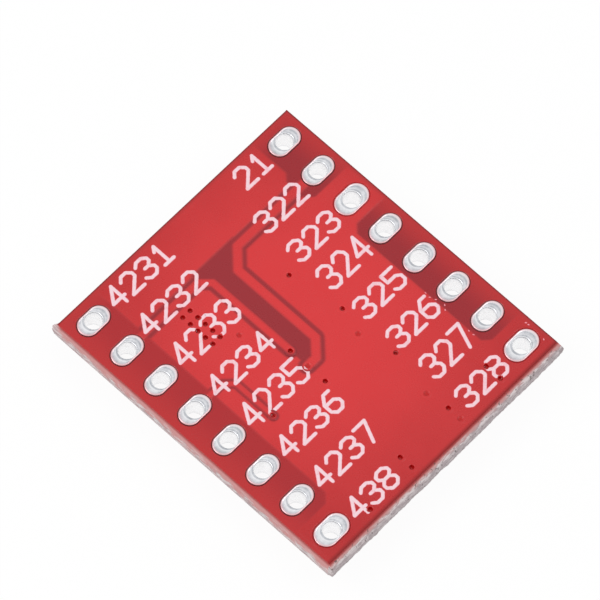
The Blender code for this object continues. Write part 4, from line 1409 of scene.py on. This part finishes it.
def painted_slope_highlight(tree):
    """A painted highlight: 1 on upright surfaces and 0 on level ones."""
    normal = add_node(tree, "ShaderNodeNewGeometry").outputs["Normal"]
    facing = add_node(tree, "ShaderNodeSeparateXYZ", {"Vector": normal}).outputs["Z"]
    return ramp_value(tree, combine(tree, "ABSOLUTE", facing), 0.995, 0.80)


def build_tin(name, follows_rings, bright, flat, dull, roughness, metallic):
    """Tinned metal with a painted highlight on its curves; on the flanges also painted shade and a
    painted reflection of the red mask.
    """
    material, tree, shader = new_material(name)
    shine = attribute(tree, "shine") if follows_rings else painted_slope_highlight(tree)
    patches = patchy_tone(tree, 2.2, 7.0)
    level = mix_colours(tree, patches, dull, flat)
    colour = mix_colours(tree, shine, level, bright)
    if follows_rings:
        # A shine below zero is painted shade.
        colour = mix_colours(tree, ramp_value(tree, shine, 0, -1), colour, TIN_PAINTED_SHADE)
        # The rim takes a pink painted reflection of the red mask.
        colour = mix_colours(tree, attribute(tree, "mask_reflection"), colour, TIN_MASK_REFLECTION)
    tree.links.new(colour, shader.inputs["Base Color"])
    rough = ramp_value(tree, patches, 0, 1, roughness + 0.12, roughness)
    tree.links.new(rough, shader.inputs["Roughness"])
    tree.links.new(grain_normal(tree, 7.0, 0.8, 0.0040 * MM), shader.inputs["Normal"])
    shader.inputs["Metallic"].default_value = metallic
    return material


PAD_TIN = build_tin("pad_tin_finish", True, TIN_HIGHLIGHT, TIN_FLAT, TIN_DULL, 0.20, 1.0)
dress(PAD_TIN, *tinned_holes)
print("dressed the tinned holes")

# %% [markdown]
# Printing ink is matt and chalky. It is thickest along the middle of a stroke, and
# at its rim the red of the mask shows through as pink. The points carry how thick
# the ink is there.

# %% White ink
INK_WHITE = shade(246, 216, 223)
INK_PINK = shade(244, 150, 162)


def build_ink():
    """White ink that turns pink where it is thin."""
    material, tree, shader = new_material("white_ink")
    thick = ramp_value(tree, attribute(tree, "cover"), 0.15, 0.85)
    worn = ramp_value(tree, patchy_tone(tree, 2.5, 16.0), 0.0, 0.35, 0.72, 1.0)
    whole = combine(tree, "MULTIPLY", thick, worn)
    tree.links.new(mix_colours(tree, whole, INK_PINK, INK_WHITE), shader.inputs["Base Color"])
    tree.links.new(ramp_value(tree, worn, 0, 1, 0.70, 0.55), shader.inputs["Roughness"])
    tree.links.new(grain_normal(tree, 22.0, 0.4, 0.002 * MM), shader.inputs["Normal"])
    shader.inputs["Specular IOR Level"].default_value = 0.3
    return material


WHITE_INK = build_ink()
dress(WHITE_INK, ink, marks)
print("dressed the print of both sides")

# %% [markdown]
# Glass-epoxy is pale layers of cloth in resin. Where it is torn, the layers show as
# fine streaks that run along the edge, with dark specks where fibres broke off. A
# noise that is stretched along the edge and squeezed across it gives the streaks.

# %% Glass-epoxy
EPOXY_PALE = shade(236, 225, 225)
EPOXY_GREY = shade(188, 173, 175)
EPOXY_PINK = shade(220, 157, 155)
EPOXY_STAIN = shade(176, 52, 52)
EPOXY_WEB_SHADE = shade(190, 178, 181)
EPOXY_SPECK = shade(92, 78, 76)
PATCHES_PER_MM = 1.3
LAYERS_PER_MM = 9.0
SPECKS_PER_MM = 5.5
ALONG_LAYERS = (0.22, 0.22, 1.0)
RAGGED = 0.26 * MM


def build_glass_epoxy():
    """Torn glass-epoxy with streaks along its layers."""
    material, tree, shader = new_material("torn_glass_epoxy")
    coords, x, y, z = place_parts(tree)
    on_end = ramp_value(tree, x, HALF_LENGTH - 0.02 * MM, HALF_LENGTH + 0.05 * MM)
    squeezed = add_node(tree, "ShaderNodeMapping", {"Vector": coords, "Scale": ALONG_LAYERS})
    streaks = noise_value(tree, squeezed.outputs["Vector"], LAYERS_PER_MM, 6.0)
    patches = ramp_value(tree, noise_value(tree, coords, PATCHES_PER_MM, 2.0), 0, 1, -0.5, 0.5)
    patches = combine(tree, "MULTIPLY", patches, ramp_value(tree, on_end, 0, 1, 1.0, 0.1))
    mottle = combine(tree, "ADD", streaks, patches)
    streak = ramp_value(tree, streaks, 0.42, 0.58)
    colour = mix_colours(tree, streak, EPOXY_GREY, EPOXY_PALE)
    down = combine(tree, "SUBTRACT", TOP_FACE, z)
    steep = combine(tree, "MULTIPLY", down, ramp_value(tree, on_end, 0, 1, 1.0, 4.0))
    pull = ramp_value(tree, mottle, 0.30, 0.70, -RAGGED, RAGGED)
    ragged = combine(tree, "ADD", steep, pull)
    cleaner = ramp_value(tree, x, -HALF_LENGTH - 0.05 * MM, -HALF_LENGTH + 0.35 * MM, 0.25, 1.0)
    pink = ramp_value(tree, ragged, 0.40 * MM, 1.25 * MM, 1.0, 0.0)
    colour = mix_colours(tree, combine(tree, "MULTIPLY", pink, cleaner), colour, EPOXY_PINK)
    soaked = combine(tree, "MULTIPLY", down, ramp_value(tree, on_end, 0, 1, 1.0, 2.0))
    stain = ramp_value(tree, soaked, 0.02 * MM, 0.33 * MM, 0.9, 0.0)
    colour = mix_colours(tree, combine(tree, "MULTIPLY", stain, cleaner), colour, EPOXY_STAIN)
    # The outer face of the torn web at the +X end is painted darker, as painted shade.
    web = ramp_value(tree, x, HALF_LENGTH + 0.23 * MM, HALF_LENGTH + 0.31 * MM, 0.0, 0.50)
    colour = mix_colours(tree, web, colour, EPOXY_WEB_SHADE)
    dark = ramp_value(tree, noise_value(tree, coords, SPECKS_PER_MM, 3.0), 0.60, 0.68, 0.0, 0.75)
    colour = mix_colours(tree, combine(tree, "MULTIPLY", dark, on_end), colour, EPOXY_SPECK)
    tree.links.new(colour, shader.inputs["Base Color"])
    tree.links.new(ramp_value(tree, streak, 0, 1, 0.80, 0.60), shader.inputs["Roughness"])
    tree.links.new(grain_normal(tree, 14.0, 0.5, 0.012 * MM), shader.inputs["Normal"])
    shader.inputs["Specular IOR Level"].default_value = 0.35
    return material


GLASS_EPOXY = build_glass_epoxy()
dress(GLASS_EPOXY, snapped_edges, core)
print("dressed the laminate and its edges")

# %% [markdown]
# The chip's body is moulded epoxy filled with glass powder: near black, matt, with
# a fine sparkle. The capacitors are tan ceramic with tinned ends.

# %% Parts of the component side
CHIP_BLACK = shade(34, 34, 36)
CHIP_GREY = shade(58, 57, 58)
CERAMIC_TAN = shade(176, 146, 112)
CERAMIC_BROWN = shade(140, 108, 78)
LEAD_FLAT = shade(206, 208, 210)
LEAD_DULL = shade(178, 180, 184)
# Upright faces of leads and fillets get this painted highlight.
LEAD_HIGHLIGHT = shade(238, 238, 240)


def build_speckled(name, first, second, roughness, grains, height):
    """A matt material between two colours, with a grain."""
    material, tree, shader = new_material(name)
    tone = patchy_tone(tree, 1.5, 26.0)
    tree.links.new(mix_colours(tree, tone, first, second), shader.inputs["Base Color"])
    rough = ramp_value(tree, tone, 0, 1, roughness + 0.1, roughness)
    tree.links.new(rough, shader.inputs["Roughness"])
    tree.links.new(grain_normal(tree, grains, 0.3, height), shader.inputs["Normal"])
    return material


def packed(*names):
    """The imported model's objects of these names."""
    return [bpy.data.objects[name] for name in names]


MOULDED_EPOXY = build_speckled("moulded_epoxy_finish", CHIP_BLACK, CHIP_GREY,
                               0.50, 30.0, 0.004 * MM)
CERAMIC = build_speckled("ceramic_finish", CERAMIC_BROWN, CERAMIC_TAN, 0.35, 40.0, 0.002 * MM)
LEAD_TIN = build_tin("lead_tin_finish", False, LEAD_HIGHLIGHT, LEAD_FLAT, LEAD_DULL, 0.30, 0.7)
SOLDER = build_tin("solder_finish", False, LEAD_HIGHLIGHT, LEAD_FLAT, LEAD_DULL, 0.40, 0.3)
dress(MOULDED_EPOXY, *packed("driver_package"))
dress(LEAD_TIN, *packed(*LEADS, *CAP_ENDS))
dress(SOLDER, fillets)
dress(CERAMIC, *packed(*[f"{name}_body" for name in CAPACITORS]))
print("dressed the chip,", len(LEADS), "leads and", len(CAPACITORS), "capacitors")

# %% [markdown]
# The board lies on a white sweep. To the camera and in reflections the sweep is
# plain white, with a little real shading mixed in so that the object's shadow
# stays. Other light passes through it, so that the underside is lit as well, and
# from below it is clear, so that the parts there can be seen.

# %% Floor and world
FLOOR_HALF = 0.6
FLOOR_PLAIN = 0.94
WORLD_LEVEL = 0.62
WHITE = (1.0, 1.0, 1.0, 1.0)


def seen_ray(tree):
    """1 for rays that show the background: camera, glossy and transmission rays."""
    path = add_node(tree, "ShaderNodeLightPath").outputs
    either = combine(tree, "MAXIMUM", path["Is Camera Ray"], path["Is Glossy Ray"])
    return combine(tree, "MAXIMUM", either, path["Is Transmission Ray"])


def build_floor():
    """A white sweep under the board that only shows from above."""
    shape = bmesh.new()
    bmesh.ops.create_grid(shape, x_segments=1, y_segments=1, size=FLOOR_HALF)
    floor = finish_mesh("floor", shape)
    material = bpy.data.materials.new("white_sweep")
    material.use_nodes = True
    tree = material.node_tree
    tree.nodes.clear()
    plain = add_node(tree, "ShaderNodeEmission", {"Color": WHITE, "Strength": 1.0})
    shaded = add_node(tree, "ShaderNodeBsdfDiffuse", {"Color": WHITE})
    ends = {0: FLOOR_PLAIN, 1: shaded.outputs[0], 2: plain.outputs[0]}
    sweep = add_node(tree, "ShaderNodeMixShader", ends)
    clear = add_node(tree, "ShaderNodeBsdfTransparent", {"Color": WHITE})
    back = add_node(tree, "ShaderNodeNewGeometry").outputs["Backfacing"]
    front = combine(tree, "SUBTRACT", 1.0, back)
    seen = combine(tree, "MULTIPLY", seen_ray(tree), front)
    ends = {0: seen, 1: clear.outputs[0], 2: sweep.outputs[0]}
    surface = add_node(tree, "ShaderNodeMixShader", ends)
    add_node(tree, "ShaderNodeOutputMaterial", {"Surface": surface.outputs[0]})
    dress(material, floor)
    return floor


def build_world():
    """White to the camera and in reflections, and a soft light everywhere else."""
    world = bpy.data.worlds.new("white_studio")
    world.use_nodes = True
    tree = world.node_tree
    tree.nodes.clear()
    strength = ramp_value(tree, seen_ray(tree), 0, 1, WORLD_LEVEL, 1.0)
    sky = add_node(tree, "ShaderNodeBackground", {"Color": WHITE, "Strength": strength})
    add_node(tree, "ShaderNodeOutputWorld", {"Surface": sky.outputs[0]})
    bpy.context.scene.world = world
    return world


floor = build_floor()
world = build_world()
print("floor of", 2 * FLOOR_HALF, "m, world at", WORLD_LEVEL)

# %% [markdown]
# Two soft boxes stand over the board. The larger is on the side of the smooth long
# edge, which is the bright one in the photograph, and the smaller fills from the
# other side. Each one's power is worked out from how much it should add to a white
# surface that faces it.

# %% Soft boxes
def soft_box(name, azimuth, elevation, distance, size, adds):
    """A square lamp aimed at the board, which adds so much light to a white card."""
    lamp = bpy.data.lights.new(name, "AREA")
    lamp.shape = "SQUARE"
    lamp.size = size
    lamp.energy = adds * math.pi ** 2 * distance ** 2
    holder = bpy.data.objects.new(name, lamp)
    bpy.context.scene.collection.objects.link(holder)
    turn = Matrix.Rotation(math.radians(azimuth), 4, "Z")
    tip = Matrix.Rotation(math.radians(90 - elevation), 4, "X")
    holder.matrix_world = turn @ tip @ Matrix.Translation((0, 0, distance))
    return holder


key = soft_box("key_box", -35, 48, 0.5, 0.30, 0.36)
fill = soft_box("fill_box", 130, 60, 0.5, 0.25, 0.14)
print("lamps in W:", round(key.data.energy, 2), round(fill.data.energy, 2))

# %% How colours are shown
bpy.context.scene.view_settings.view_transform = "Standard"
